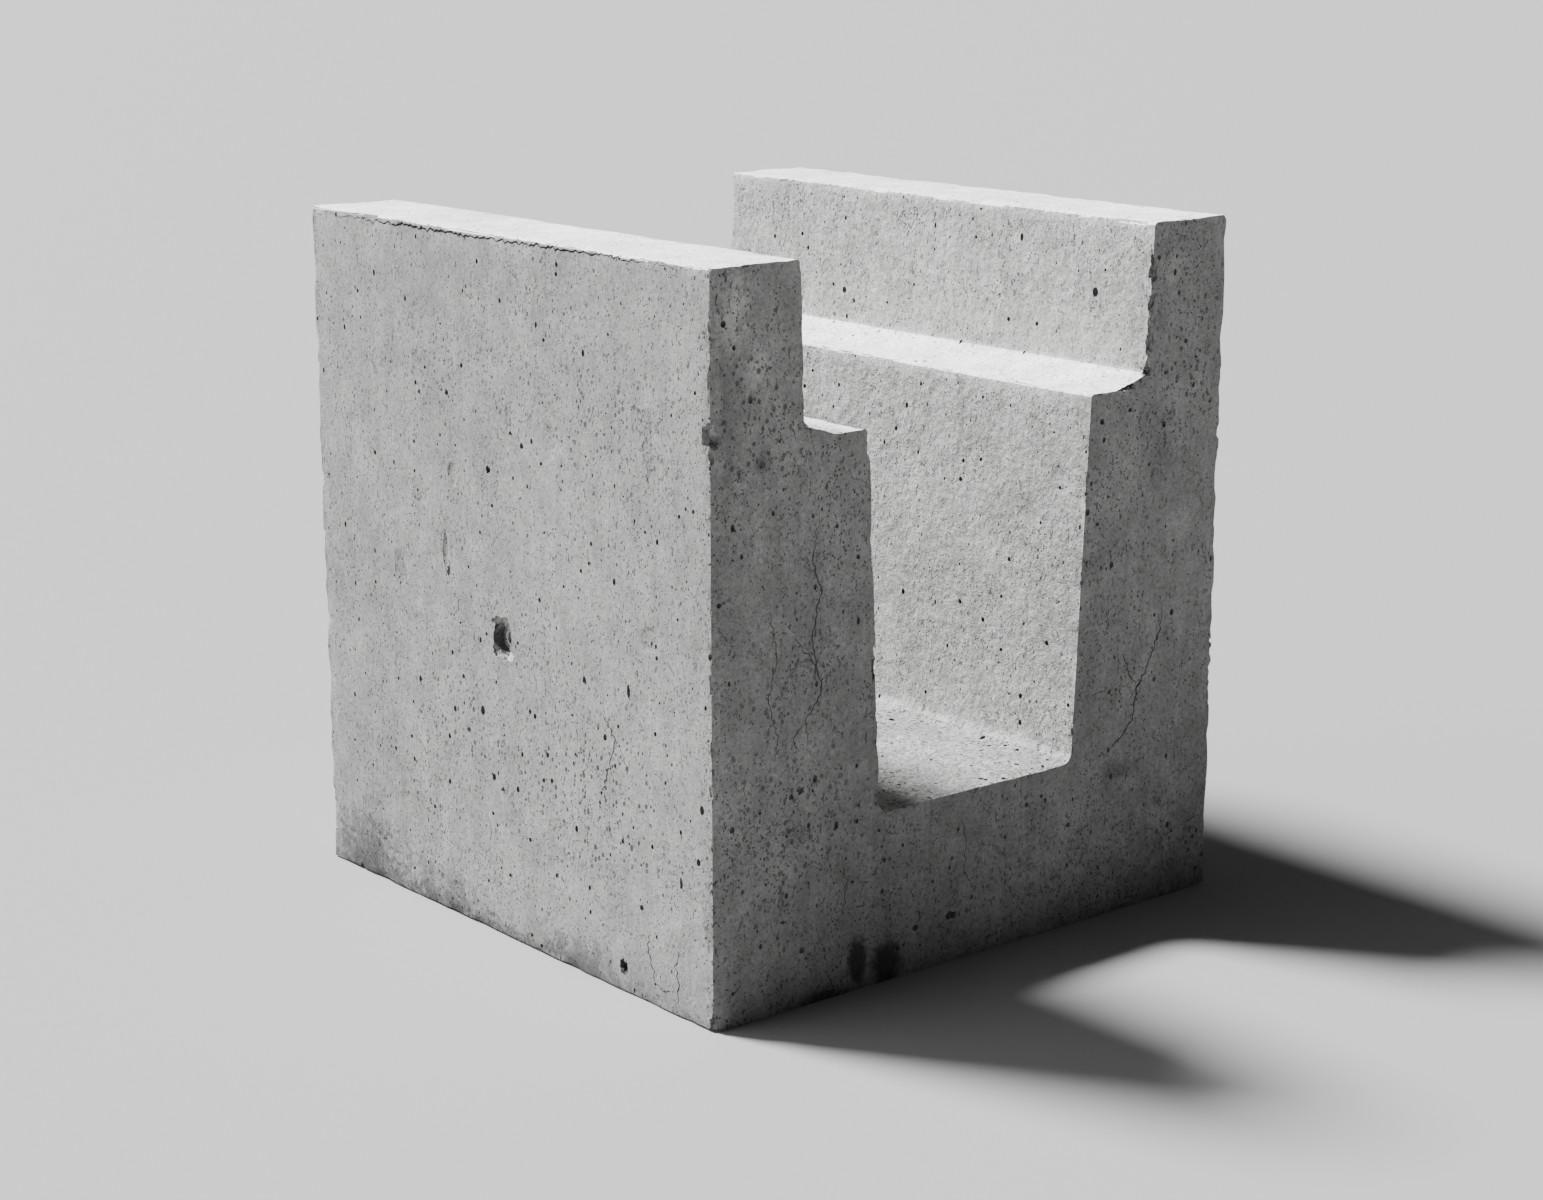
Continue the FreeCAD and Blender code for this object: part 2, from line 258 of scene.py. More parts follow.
@dataclass(frozen=True)
class ConcreteFinish:
    """Cast concrete: cement grey with clouding, streaks, pores darkened by painted shade, grain, a foot that is darker
    towards the bottom, and darker and paler spots.
    """

    name: str
    tone: float
    clouding: float = 0.09
    streaking: float = 0.16
    pore_share: float = 0.75
    relief: float = 0.5 * MM
    coarse: float = 0.5
    foot_height: float = 0.045
    foot_darkening: float = 0.15
    veining: float = 0.45
    grit: float = 0.34
    void_painted_shade: float = 0.80
    pore_size: float = 1.0
    stains_and_shade: tuple[Spot, ...] = ()
    patches_and_highlights: tuple[Spot, ...] = ()
    crowds: tuple[Spot, ...] = ()

    def make(self) -> Material:
        """Build the material.

        Returns:
            The finished material.
        """
        g = ShaderGraph(self.name)
        clouds = g.span(g.cloud(6.5, 5.0, 0.6, warp=0.4), 0.3, 0.7)
        blotch = g.cloud(34.0, 6.0, 0.62)
        streaks = g.cloud(1.0, 4.0, 0.6, at=g.stretched(75.0, 75.0, 9.0))
        grain = g.cloud(620.0, 3.0, 0.7)
        sand = g.cloud(210.0, 4.0, 0.7)
        light = g.maths("MULTIPLY_ADD", clouds, self.clouding * 2, 1.0 - self.clouding)
        for pattern, amount in ((blotch, 0.28), (streaks, self.streaking), (sand, self.grit), (grain, self.grit)):
            light = g.times(light, g.maths("MULTIPLY_ADD", g.span(pattern, 0.3, 0.7), amount, 1.0 - amount / 2))
        if self.veining:
            light = g.times(light, g.maths("SUBTRACT", 1.0, g.times(g.veins(15.0, 0.80 * MM), self.veining)))
        # Pores too small to cut are darkened: painted shade inside them.
        voids = self.voids(g)
        light = g.times(light, g.maths("SUBTRACT", 1.0, g.times(voids, self.void_painted_shade)))
        # Darker towards the bottom, over the lowest few centimetres.
        rise = g.add("ShaderNodeSeparateXYZ", {0: g.place}).outputs[2]
        rise = g.maths("ADD", rise, g.maths("MULTIPLY_ADD", blotch, -0.09, 0.045))
        light = g.times(light, g.span(rise, 0.0, self.foot_height, 1.0 - self.foot_darkening, 1.0))
        # Spots darken (stains, painted shade on dents, darker feet) or brighten (pale patches, a painted highlight on
        # a broken lip).
        for change, spots in (("SUBTRACT", self.stains_and_shade), ("ADD", self.patches_and_highlights)):
            for spot in spots:
                light = g.times(light, g.maths(change, 1.0, g.near(spot)))
        shades = {i: g.times(light, self.tone * share) for i, share in enumerate((1.0, 0.995, 0.98))}
        body = g.times(g.cloud(95.0, 5.0, 0.6), self.coarse)
        lumps = g.times(g.maths("ADD", sand, grain), 0.22)
        height = g.maths("SUBTRACT", g.maths("ADD", body, lumps), g.times(voids, 0.55))
        rough = g.maths("MULTIPLY_ADD", blotch, 0.16, 0.80)
        return g.finish(g.add("ShaderNodeCombineColor", shades).outputs[0], rough, height, self.relief * 2)

    def voids(self, g: ShaderGraph) -> Socket:
        """The mask of the specks that are too small to cut, 1 inside one.

        Args:
            g: The material's tree.

        Returns:
            The mask's socket.
        """
        fine = g.pores(400.0 / self.pore_size, 0.42, self.pore_share)
        small = g.pores(185.0 / self.pore_size, 0.26, self.pore_share * 0.55, at=g.stretched(1.0, 1.0, 0.72))
        specks = g.span(g.cloud(330.0, 2.0, 0.5, at=g.stretched(1.0, 1.0, 0.55), warp=0.6), 0.62, 0.66)
        crowd = g.span(g.cloud(16.0, 3.0, 0.6, at=g.stretched(1.3, 1.3, 0.6), warp=0.8), 0.36, 0.60, 0.45, 1.0)
        voids = g.maths("MAXIMUM", g.times(g.maths("MAXIMUM", fine, g.times(specks, 0.8)), crowd), small)
        if self.crowds:
            thick = g.pores(190.0, 0.42, 0.90, at=g.stretched(1.0, 1.0, 0.85))
            for spot in self.crowds:
                voids = g.maths("MAXIMUM", voids, g.times(thick, g.near(spot)))
        return voids


@dataclass(frozen=True)
class SteelFinish:
    """Bare or plated steel: two tones that follow rust, scale or spangle."""

    name: str
    dark: Colour
    bright: Colour
    metallic: float = 0.8
    rough: float = 0.5
    scale: float = 120.0
    relief: float = 0.12 * MM

    def make(self) -> Material:
        """Build the material.

        Returns:
            The finished material.
        """
        g = ShaderGraph(self.name)
        coarse = g.cloud(self.scale, 5.0, 0.65)
        fine = g.cloud(self.scale * 7, 3.0, 0.6)
        colour = g.tint(g.span(coarse, 0.40, 0.62), self.dark, self.bright)
        colour = g.tint(g.times(fine, 0.4), colour, self.dark)
        rough = g.maths("MULTIPLY_ADD", coarse, 0.3, self.rough - 0.15)
        g.shader.inputs["Metallic"].default_value = self.metallic
        return g.finish(colour, rough, g.maths("ADD", coarse, fine), self.relief)


@dataclass(frozen=True)
class PlasticFinish:
    """Moulded plastic with a fine spark-eroded grain and cement dust."""

    name: str
    colour: Colour
    dust: Colour = (0.42, 0.42, 0.41)

    def make(self) -> Material:
        """Build the material.

        Returns:
            The finished material.
        """
        g = ShaderGraph(self.name)
        dusty = g.span(g.cloud(90.0, 5.0, 0.7), 0.5, 0.66, 0.0, 0.6)
        grain = g.cloud(1500.0, 2.0, 0.5)
        colour = g.tint(dusty, self.colour, self.dust)
        rough = g.maths("MULTIPLY_ADD", dusty, 0.35, 0.42)
        return g.finish(colour, rough, grain, 0.05 * MM)


def spots(*rows: tuple[float, ...]) -> tuple[Spot, ...]:
    """Spots from rows: centre and reach in millimetres, then stretch, strength and raggedness."""
    return tuple(Spot(tuple(v / 1000 for v in r[:3]), r[3] / 1000, r[4:7], *r[7:]) for r in rows)


FORMED_STAINS_AND_SHADE = spots(
    (-141, -300, 26, 18, 0.8, 1, 1.6, 0.8, 1.3), (-107, -300, 16, 22, 1, 1, 1.4, 0.8, 1.3),
    # The spots at x -180 and x 235 darken the front face towards its foot.
    (-180, -300, 0, 20, 2.4, 1, 0.7, 0.7, 1.6), (235, -300, -10, 100, 1.5, 1, 0.9, 0.25),
    # The spot at x 60 darkens the front face at its foot; the spot at x 175, z 137 is painted shade on the dent there.
    (60, -300, -12, 60, 2.4, 1, 0.7, 0.08), (175, -300, 137, 18, 2.2, 1, 0.7, 0.3),
    # The spot at x -245, z 478 is painted shade on the dent there.
    (222, -300, 420, 30, 0.7, 1, 2.6, 0.22), (-245, -300, 478, 12, 1, 1, 1, 0.35),
    (-280, -300, 515, 28, 0.8, 1, 2.8, 0.34), (-205, -300, 330, 60, 0.9, 1, 2, 0.2),
    # These two spots are painted shade on the dents at the same places.
    (-300, 162, 316, 17, 1, 0.9, 1.5, 0.22), (-300, -218, 323, 17, 1, 0.9, 1.3, 0.18),
    (-300, 214, 455, 16, 1, 1.2, 1, 0.15), (-300, 16, 445, 16, 1, 0.9, 1.5, 0.2),
    # These four spots darken the foot of the left face.
    (-300, 235, 4, 62, 1, 1.5, 1.3, 0.72), (-300, 100, -4, 56, 1, 2, 0.9, 0.65),
    (-300, -110, 4, 42, 1, 2.6, 0.9, 0.55), (-300, 0, -6, 40, 1, 2.6, 0.7, 0.4),
)
FORMED_PATCHES = spots(
    (-272, -300, 600, 28, 0.7, 1, 1.7, 0.65), (-250, -300, 560, 20, 1, 1, 1.6, 0.35),
    (-235, -300, 450, 12, 2.4, 1, 0.5, 0.22), (226, -300, 596, 16, 1.2, 1, 1.2, 0.2),
)
FORMED_CROWDS = spots(
    (-300, -140, 165, 125, 1, 1.35, 0.75, 1, 1.2), (-300, 60, 190, 90, 1, 1.2, 0.8, 0.9, 1.2),
    (-300, -170, 500, 100, 1, 1.4, 0.9, 0.8, 1.2), (-300, 120, 520, 80, 1, 1.4, 0.8, 0.6, 1.2),
    (-250, -300, 520, 90, 0.8, 1, 1.1, 0.8, 1.2), (255, -300, 520, 80, 0.8, 1, 1.3, 0.8, 1.2),
    (-215, -300, 200, 110, 0.9, 1, 1.3, 0.65, 1.2), (50, -300, 60, 80, 2, 1, 0.8, 0.45, 1.2),
    (300, 20, 180, 130, 1, 1.5, 0.8, 0.9, 1.2), (120, 300, 110, 110, 1.8, 1, 0.8, 0.8, 1.2),
)
# A paler broken lip below the left socket's mouth, brightened further as a painted highlight.
BROKEN_PALE_AND_HIGHLIGHT = spots(
    (-298, -12, 265, 11, 1, 1, 1, 1.4, 1.2), (-298, 6, 262, 7, 1, 1.3, 0.8, 0.9, 1.2),
)
FINISHES: dict[Skin, ConcreteFinish] = {
    Skin.FORMED: ConcreteFinish(
        "formed_concrete", 0.248, foot_darkening=0.08,
        stains_and_shade=FORMED_STAINS_AND_SHADE, patches_and_highlights=FORMED_PATCHES, crowds=FORMED_CROWDS,
    ),
    Skin.CHANNEL: ConcreteFinish(
        "channel_concrete", 0.39, clouding=0.12,
        relief=1.3 * MM, coarse=1.2, pore_share=0.35,
    ),
    # The tops' tone is partly a paler floated skin and partly a painted highlight of sunlight on the upward faces.
    Skin.FLOATED: ConcreteFinish(
        "floated_concrete", 0.78, clouding=0.08, streaking=0.02,
        relief=0.8 * MM, pore_share=0.3, grit=0.3, veining=0.0,
    ),
    Skin.TROWELLED: ConcreteFinish(
        "trowelled_concrete", 0.28, clouding=0.22, relief=2.4 * MM, coarse=1.5,
        pore_share=0.60, grit=0.6, void_painted_shade=0.80, pore_size=1.6,
    ),
    Skin.BROKEN: ConcreteFinish(
        "broken_concrete", 0.20, clouding=0.2, relief=1.0 * MM,
        coarse=1.0, pore_share=0.6, veining=0.0, patches_and_highlights=BROKEN_PALE_AND_HIGHLIGHT,
    ),
    # Near-black painted shade on the walls of cut bug holes, pits, cracks and the socket recess.
    Skin.VOID: ConcreteFinish("hollow_painted_shade", 0.08, clouding=0.2, relief=0.4 * MM, pore_share=0.3, veining=0.0),
}
BAR_STEEL = SteelFinish("rusted_bar_steel", (0.09, 0.06, 0.05), (0.24, 0.12, 0.07), 0.45, 0.75)
WIRE_STEEL = SteelFinish("annealed_wire", (0.035, 0.035, 0.037), (0.12, 0.10, 0.09), 0.7, 0.55, 300.0, 0.05 * MM)
ZINC_STEEL = SteelFinish("zinc_plated_steel", (0.30, 0.31, 0.32), (0.62, 0.63, 0.64), 0.9, 0.42, 180.0, 0.04 * MM)
SPACER_PLASTIC = PlasticFinish("spacer_plastic", (0.045, 0.045, 0.05))
CHAIR_MORTAR = ConcreteFinish("chair_mortar", 0.36, clouding=0.1, pore_share=0.4, foot_darkening=0.0, veining=0.0)


# ---- mesh utilities


def place_mesh(name: str, mesh: bpy.types.Mesh) -> Piece:
    """Put a mesh in the scene as an object at the origin.

    Args:
        name: The object's name.
        mesh: Its mesh.

    Returns:
        The object.
    """
    piece = bpy.data.objects.new(name, mesh)
    bpy.context.scene.collection.objects.link(piece)
    return piece


def object_from(
    name: str, vertices: Iterable[Sequence[float]], faces: Iterable[Sequence[int]], edges: Iterable[Sequence[int]] = ()
) -> Piece:
    """Make a mesh object at the origin.

    Args:
        name: The object's name.
        vertices: Its corners.
        faces: Its faces, as lists of corner numbers.
        edges: Its bare edges, as pairs of corner numbers.

    Returns:
        The object.
    """
    mesh = bpy.data.meshes.new(name)
    mesh.from_pydata([tuple(v) for v in vertices], list(edges), [tuple(f) for f in faces])
    mesh.update()
    return place_mesh(name, mesh)


def object_of(name: str, shape: bmesh.types.BMesh) -> Piece:
    """Turn a closed shape's faces outwards and make it an object.

    Args:
        name: The object's name.
        shape: The shape, which is used up.

    Returns:
        The object.
    """
    bmesh.ops.recalc_face_normals(shape, faces=shape.faces[:])
    mesh = bpy.data.meshes.new(name)
    shape.to_mesh(mesh)
    shape.free()
    return place_mesh(name, mesh)


def dress(piece: Piece, finish: Material) -> Piece:
    """Give a piece one finish.

    Args:
        piece: The object.
        finish: Its material.

    Returns:
        The same object.
    """
    piece.data.materials.clear()
    piece.data.materials.append(finish)
    return piece


def settle(piece: Piece) -> None:
    """Turn a piece's modifiers into a plain mesh and remove them.

    Args:
        piece: The object to settle.
    """
    graph = bpy.context.evaluated_depsgraph_get()
    graph.update()
    mesh = bpy.data.meshes.new_from_object(piece.evaluated_get(graph), preserve_all_data_layers=True, depsgraph=graph)
    piece.modifiers.clear()
    old, piece.data = piece.data, mesh
    bpy.data.meshes.remove(old)


def discard(piece: Piece) -> None:
    """Remove an object and its mesh.

    Args:
        piece: The object to remove.
    """
    mesh = piece.data
    bpy.data.objects.remove(piece)
    bpy.data.meshes.remove(mesh)


def merge_shape(body: Piece, tool: Piece, operation: str = "DIFFERENCE") -> None:
    """Cut a tool out of a body, or join it on, and drop the tool.

    Args:
        body: The object that changes.
        tool: The object to cut with or to join.
        operation: DIFFERENCE or UNION.
    """
    step = body.modifiers.new("merge", "BOOLEAN")
    step.operation, step.solver = operation, "MANIFOLD"
    step.object = tool
    step.material_mode = "TRANSFER"
    settle(body)
    discard(tool)


def joined(pieces: Iterable[Piece]) -> Piece:
    """Join pieces onto the first of them.

    Args:
        pieces: The pieces.

    Returns:
        The first piece, which now holds them all.
    """
    first, *others = pieces
    for other in others:
        merge_shape(first, other, "UNION")
    return first


def wobble(place: Vector, scale: float, seed: float) -> float:
    """A smooth random number from -1 to 1 that depends on the place, with scale features per metre."""
    return noise.fractal(place * scale + Vector((seed, seed * 1.7, -seed)), 0.9, 2.0, 4)


def lump(name: str, centre: Point, radii: Point, seed: float, rounds: int = 3, ragged: float = 0.32) -> Piece:
    """An uneven closed ball, to cut a chip or a hole with.

    Args:
        name: The object's name.
        centre: Its centre, in metres.
        radii: Its three radii, in metres.
        seed: Moves its unevenness.
        rounds: How finely it is divided.
        ragged: How uneven it is, as a share of its radius.

    Returns:
        The object.
    """
    shape = bmesh.new()
    bmesh.ops.create_icosphere(shape, subdivisions=rounds, radius=1.0)
    for vertex in shape.verts:
        away = 1.0 + ragged * noise.fractal(vertex.co * 1.6 + Vector((seed, 0.0, seed)), 0.7, 2.1, 3)
        vertex.co = Vector([c + d * r * away for c, d, r in zip(centre, vertex.co, radii)])
    return object_of(name, shape)


def lathe(name: str, outline: Sequence[tuple[float, float]], segments: int, towards: float, height: float) -> Piece:
    """Turn a closed outline about a line along X.

    Args:
        name: The object's name.
        outline: Pairs of distance from the middle plane and radius, closed by itself.
        segments: Divisions of the circle.
        towards: -1 or 1, the side of the block.
        height: The line's height.

    Returns:
        A closed ring, or a solid where the outline touches the line.
    """
    shape = bmesh.new()
    rings = []
    for along, radius in outline:
        if radius <= 0:
            rings.append([shape.verts.new((towards * along, 0.0, height))] * segments)
            continue
        turns = [2 * math.pi * i / segments for i in range(segments)]
        places = [(towards * along, radius * math.cos(t), height + radius * math.sin(t)) for t in turns]
        rings.append([shape.verts.new(place) for place in places])
    for here, after in zip(rings, rings[1:] + rings[:1]):
        for i in range(segments):
            j = (i + 1) % segments
            corners = list(dict.fromkeys((here[i], here[j], after[j], after[i])))
            if len(corners) > 2:
                shape.faces.new(corners)
    return object_of(name, shape)


def graded(low: float, high: float, step: float, edges: Sequence[float]) -> list[float]:
    """Places to divide a length: even steps, with close ones beside each edge.

    Args:
        low: The start.
        high: The end.
        step: The widest step.
        edges: Where arrises lie.

    Returns:
        The places, in order, without the two ends.
    """
    count = max(2, round((high - low) / step))
    places = [low + (high - low) * i / count for i in range(1, count)]
    for edge in edges:
        places += [edge - 3.0 * MM, edge + 3.0 * MM]
    kept: list[float] = []
    for place in sorted(places):
        inside = low + 1.6 * MM < place < high - 1.6 * MM
        if inside and (not kept or place - kept[-1] > 1.5 * MM):
            kept.append(place)
    return kept


# ---- geometry trees


class ScatterGraph(NodeGraph):
    """A Geometry Nodes tree that scatters uneven little voids to cut with."""

    def __init__(self, name: str) -> None:
        """Start the tree with its named inputs.

        Args:
            name: The tree's name.
        """
        super().__init__(bpy.data.node_groups.new(name, "GeometryNodeTree"))
        face = self.tree.interface
        face.new_socket("Geometry", in_out="OUTPUT", socket_type="NodeSocketGeometry")
        numbers = dict.fromkeys(("Spacing", "Density", "Smallest", "Largest", "Depth", "Unevenness"), "Float")
        kinds = {"Geometry": "Geometry", **numbers, "Seed": "Int", "Fineness": "Int", "Finish": "Material"}
        for label, kind in kinds.items():
            face.new_socket(label, in_out="INPUT", socket_type="NodeSocket" + kind)
        self.given = self.add("NodeGroupInput").outputs
        self.result = self.add("NodeGroupOutput")

    def chance(self, low: object, high: object, offset: int) -> Socket:
        """A random number for each point.

        Args:
            low: The least.
            high: The most.
            offset: Keeps this draw apart from the others.

        Returns:
            The number's socket.
        """
        seed = self.maths("ADD", self.given["Seed"], float(offset))
        return self.add("FunctionNodeRandomValue", {2: low, 3: high, "Seed": seed}, data_type="FLOAT").outputs[1]

    def sizes(self) -> Socket:
        """A size for each void: mostly small, a few large, each a little squashed.

        Returns:
            The scale vector's socket.
        """
        skew = self.maths("POWER", self.chance(0.0, 1.0, 1), 3.0)
        spread = self.maths("SUBTRACT", self.given["Largest"], self.given["Smallest"])
        radius = self.maths("MULTIPLY_ADD", skew, spread, self.given["Smallest"])
        shares = (self.chance(0.7, 1.1, 2), self.chance(0.9, 1.45, 3), self.given["Depth"])
        sizes = {i: self.times(radius, share) for i, share in enumerate(shares)}
        return self.add("ShaderNodeCombineXYZ", sizes).outputs[0]

    def close(self, points: object, rotation: object, selection: object = None) -> None:
        """Put a void on each point, roughen them all and end the tree.

        Args:
            points: The points' geometry.
            rotation: Each void's turn.
            selection: Which points get one.
        """
        ball = self.add("GeometryNodeMeshIcoSphere", {"Radius": 1.0, "Subdivisions": self.given["Fineness"]})
        inputs = {"Points": points, "Instance": ball.outputs["Mesh"], "Rotation": rotation, "Scale": self.sizes()}
        copies = self.add("GeometryNodeInstanceOnPoints", inputs | {"Selection": selection})
        real = self.add("GeometryNodeRealizeInstances", {0: copies.outputs[0]})
        pattern = self.add("ShaderNodeTexNoise", {"Scale": 330.0}, noise_dimensions="3D").outputs["Color"]
        shift = self.vector("SCALE", self.vector("SUBTRACT", pattern, (0.5, 0.5, 0.5)).outputs[0])
        self.feed(shift.inputs["Scale"], self.given["Unevenness"])
        moved = self.add("GeometryNodeSetPosition", {"Geometry": real.outputs[0], "Offset": shift.outputs[0]})
        dressed = self.add("GeometryNodeSetMaterial", {"Geometry": moved.outputs[0], "Material": self.given["Finish"]})
        self.feed(self.result.inputs[0], dressed.outputs[0])

    def grow(self, source: Piece, name: str, **values: object) -> Piece:
        """Run the tree on a copy of an object's mesh.

        Args:
            source: What the voids are scattered on.
            name: The result's name.
            values: The tree's inputs, by name.

        Returns:
            The voids, as one plain mesh object.
        """
        piece = place_mesh(name, source.data.copy())
        step = piece.modifiers.new("scatter", "NODES")
        step.node_group = self.tree
        by_name = {item.name: item.identifier for item in self.tree.interface.items_tree if item.in_out == "INPUT"}
        for label, value in values.items():
            step[by_name[label]] = value
        settle(piece)
        return piece


class SurfaceVoids(ScatterGraph):
    """Scatters voids over a surface, as trapped air leaves in cast concrete."""

    def __init__(self) -> None:
        """Build the tree."""
        super().__init__("bug_hole_scatter")
        share = self.add("GeometryNodeInputNamedAttribute", {"Name": "air_share"}, data_type="FLOAT").outputs[0]
        wanted = {"Mesh": "Geometry", "Distance Min": "Spacing", "Density Max": "Density", "Seed": "Seed"}
        inputs = {socket: self.given[label] for socket, label in wanted.items()} | {"Density Factor": share}
        spread = self.add("GeometryNodeDistributePointsOnFaces", inputs, distribute_method="POISSON")
        self.close(spread.outputs["Points"], spread.outputs["Rotation"])


class ArrisNicks(ScatterGraph):
    """Strings small broken nicks along the arrises."""

    def __init__(self) -> None:
        """Build the tree."""
        super().__init__("arris_nicks")
        path = self.add("GeometryNodeMeshToCurve", {0: self.given["Geometry"]}).outputs[0]
        inputs = {"Curve": path, "Length": self.given["Spacing"]}
        points = self.add("GeometryNodeCurveToPoints", inputs, mode="LENGTH")
        held = self.maths("LESS_THAN", self.chance(0.0, 1.0, 4), self.given["Density"])
        self.close(points.outputs["Points"], points.outputs["Rotation"], held)


# ---- the concrete


@dataclass(frozen=True)
class Chip:
    """One broken place: where it is and how large."""

    centre: Point
    radii: Point


@dataclass(frozen=True)
class Crack:
    """A hairline crack, as the points it passes, with a width that fades at its ends."""

    points: tuple[Point, ...]
    outward: Point
    width: float = 1.3 * MM
    depth: float = 1.8 * MM


@dataclass
class ConcreteBlock:
    """The cast block: a U-shaped trough with a rebate in the top of each wall."""

    node: str = "concrete_body"
    wall_at_top: float = 0.095
    wall_at_root: float = 0.101
    wall_at_seat: float = 0.170
    wall_at_floor: float = 0.185
    cove_width: float = 0.031
    cove_rise: float = 0.011
    rebate_depth: float = 0.147
    floor_thickness: float = 0.156
    step: float = 0.0115
    low: Vector = field(default_factory=Vector)
    high: Vector = field(default_factory=Vector)

    def __post_init__(self) -> None:
        """Take the block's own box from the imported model."""
        self.low, self.high = (Vector(corner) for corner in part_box(self.node))

    def half_outline(self) -> list[tuple[float, float, float]]:
        """The right half of the section.

        Returns:
            Each corner's x, z and radius, from the base up and over to the channel floor.
        """
        wide, tall = self.high.x, self.high.z
        seat = tall - self.rebate_depth
        root = wide - self.wall_at_root
        return [
            (wide, 0.0, 2.5 * MM),
            (wide, tall, 3.0 * MM),
            (wide - self.wall_at_top, tall, 5.0 * MM),
            (root, seat + self.cove_rise, 7.0 * MM),
            (root - self.cove_width, seat, 9.0 * MM),
            (wide - self.wall_at_seat, seat, 4.5 * MM),
            (wide - self.wall_at_floor, self.floor_thickness, 10.0 * MM),
        ]

    def outline(self) -> list[tuple[float, float]]:
        """The whole section with its corners rounded.

        Returns:
            Pairs of x and z, anticlockwise as seen from the front.
        """
        half = self.half_outline()
        corners = half + [(-x, z, radius) for x, z, radius in reversed(half)]
        points: list[tuple[float, float]] = []
        for i, (x, z, radius) in enumerate(corners):
            here = Vector((x, z))
            back = (Vector(corners[i - 1][:2]) - here).normalized()
            ahead = (Vector(corners[(i + 1) % len(corners)][:2]) - here).normalized()
            half_angle = back.angle(ahead) / 2
            centre = here + (back + ahead).normalized() * (radius / math.sin(half_angle))
            reach = radius / math.tan(half_angle)
            first, last = here + back * reach - centre, here + ahead * reach - centre
            turn = first.angle_signed(last)
            points += [tuple(centre + Matrix.Rotation(-turn * k / 4, 2) @ first) for k in range(5)]
        return points

    def arrises(self) -> list[tuple[Point, Point]]:
        """The sharp outward edges of the block.

        Returns:
            The two ends of each straight edge.
        """
        front, back = self.low.y, self.high.y
        half = [(x, z) for x, z, _ in self.half_outline()]
        lines = []
        for side in (-1.0, 1.0):
            lines += [((side * x, front, z), (side * x, back, z)) for x, z in (half[1], half[2], half[5], half[0])]
            for (x, z), (u, w) in zip(half, half[1:]):
                lines += [((side * x, y, z), (side * u, y, w)) for y in (front, back)]
        x, z = half[-1]
        return lines + [((-x, y, z), (x, y, z)) for y in (front, back)]

    def end_face(self) -> tuple[np.ndarray, list[list[int]], list[int]]:
        """Divide the section into a grid of small faces.

        Returns:
            The corners' x and z, the faces, and the corners along the outline in order.
        """
        shape = bmesh.new()
        shape.faces.new([shape.verts.new((x, 0.0, z)) for x, z in self.outline()])
        half = self.half_outline()
        across = [side * x for side in (-1, 1) for x, _, _ in half[:6]]
        upward = [z for _, z, _ in half]
        cuts = [((x, 0, 0), (1, 0, 0)) for x in graded(self.low.x, self.high.x, self.step, across)]
        cuts += [((0, 0, z), (0, 0, 1)) for z in graded(0.0, self.high.z, self.step, upward)]
        for place, normal in cuts:
            everything = shape.verts[:] + shape.edges[:] + shape.faces[:]
            bmesh.ops.bisect_plane(shape, geom=everything, dist=1e-6, plane_co=place, plane_no=normal)
        bmesh.ops.remove_doubles(shape, verts=shape.verts[:], dist=0.15 * MM)
        shape.verts.index_update()
        shape.normal_update()
        if sum(face.normal.y * face.calc_area() for face in shape.faces) > 0:
            bmesh.ops.reverse_faces(shape, faces=shape.faces[:])
        places = np.array([(v.co.x, v.co.z) for v in shape.verts])
        faces = [[v.index for v in face.verts] for face in shape.faces]
        after = {}
        for face in shape.faces:
            for corner in face.loops:
                if len(corner.edge.link_faces) == 1:
                    after[corner.vert.index] = corner.link_loop_next.vert.index
        shape.free()
        ring = [next(iter(after))]
        while after[ring[-1]] != ring[0]:
            ring.append(after[ring[-1]])
        return places, faces, ring

    def blank(self) -> Piece:
        """The clean block as one closed mesh of small faces.

        Returns:
            The object.
        """
        places, cap, ring = self.end_face()
        front, back = self.low.y, self.high.y
        stations = [front, *graded(front, back, self.step, [front, back]), back]
        count = len(places)
        vertices = [(x, front, z) for x, z in places] + [(x, back, z) for x, z in places]
        rows = [list(ring)]
        for y in stations[1:-1]:
            start = len(vertices)
            vertices += [(places[i][0], y, places[i][1]) for i in ring]
            rows.append(list(range(start, start + len(ring))))
        rows.append([index + count for index in ring])
        faces = cap + [[index + count for index in reversed(face)] for face in cap]
        size = len(ring)
        for near, far in zip(rows, rows[1:]):
            faces += [[near[(i + 1) % size], near[i], far[i], far[(i + 1) % size]] for i in range(size)]
        return object_from("concrete_block", vertices, faces)

    def skin_of(self, centre: Vector, normal: Vector) -> Skin:
        """Which surface a face belongs to.

        Args:
            centre: The face's middle.
            normal: Its direction.

        Returns:
            The surface.
        """
        inner = abs(centre.x) < self.high.x - 0.5 * self.wall_at_top and centre.z > self.floor_thickness - 5 * MM
        # Upward faces of the crowns and seats take the floated skin with its painted highlight.
        if normal.z > 0.6 and centre.z > self.high.z - self.rebate_depth - 20 * MM:
            return Skin.FLOATED
        if inner and normal.z > 0.8:
            return Skin.TROWELLED
        if inner and abs(normal.y) < 0.6:
            return Skin.CHANNEL
        return Skin.FORMED

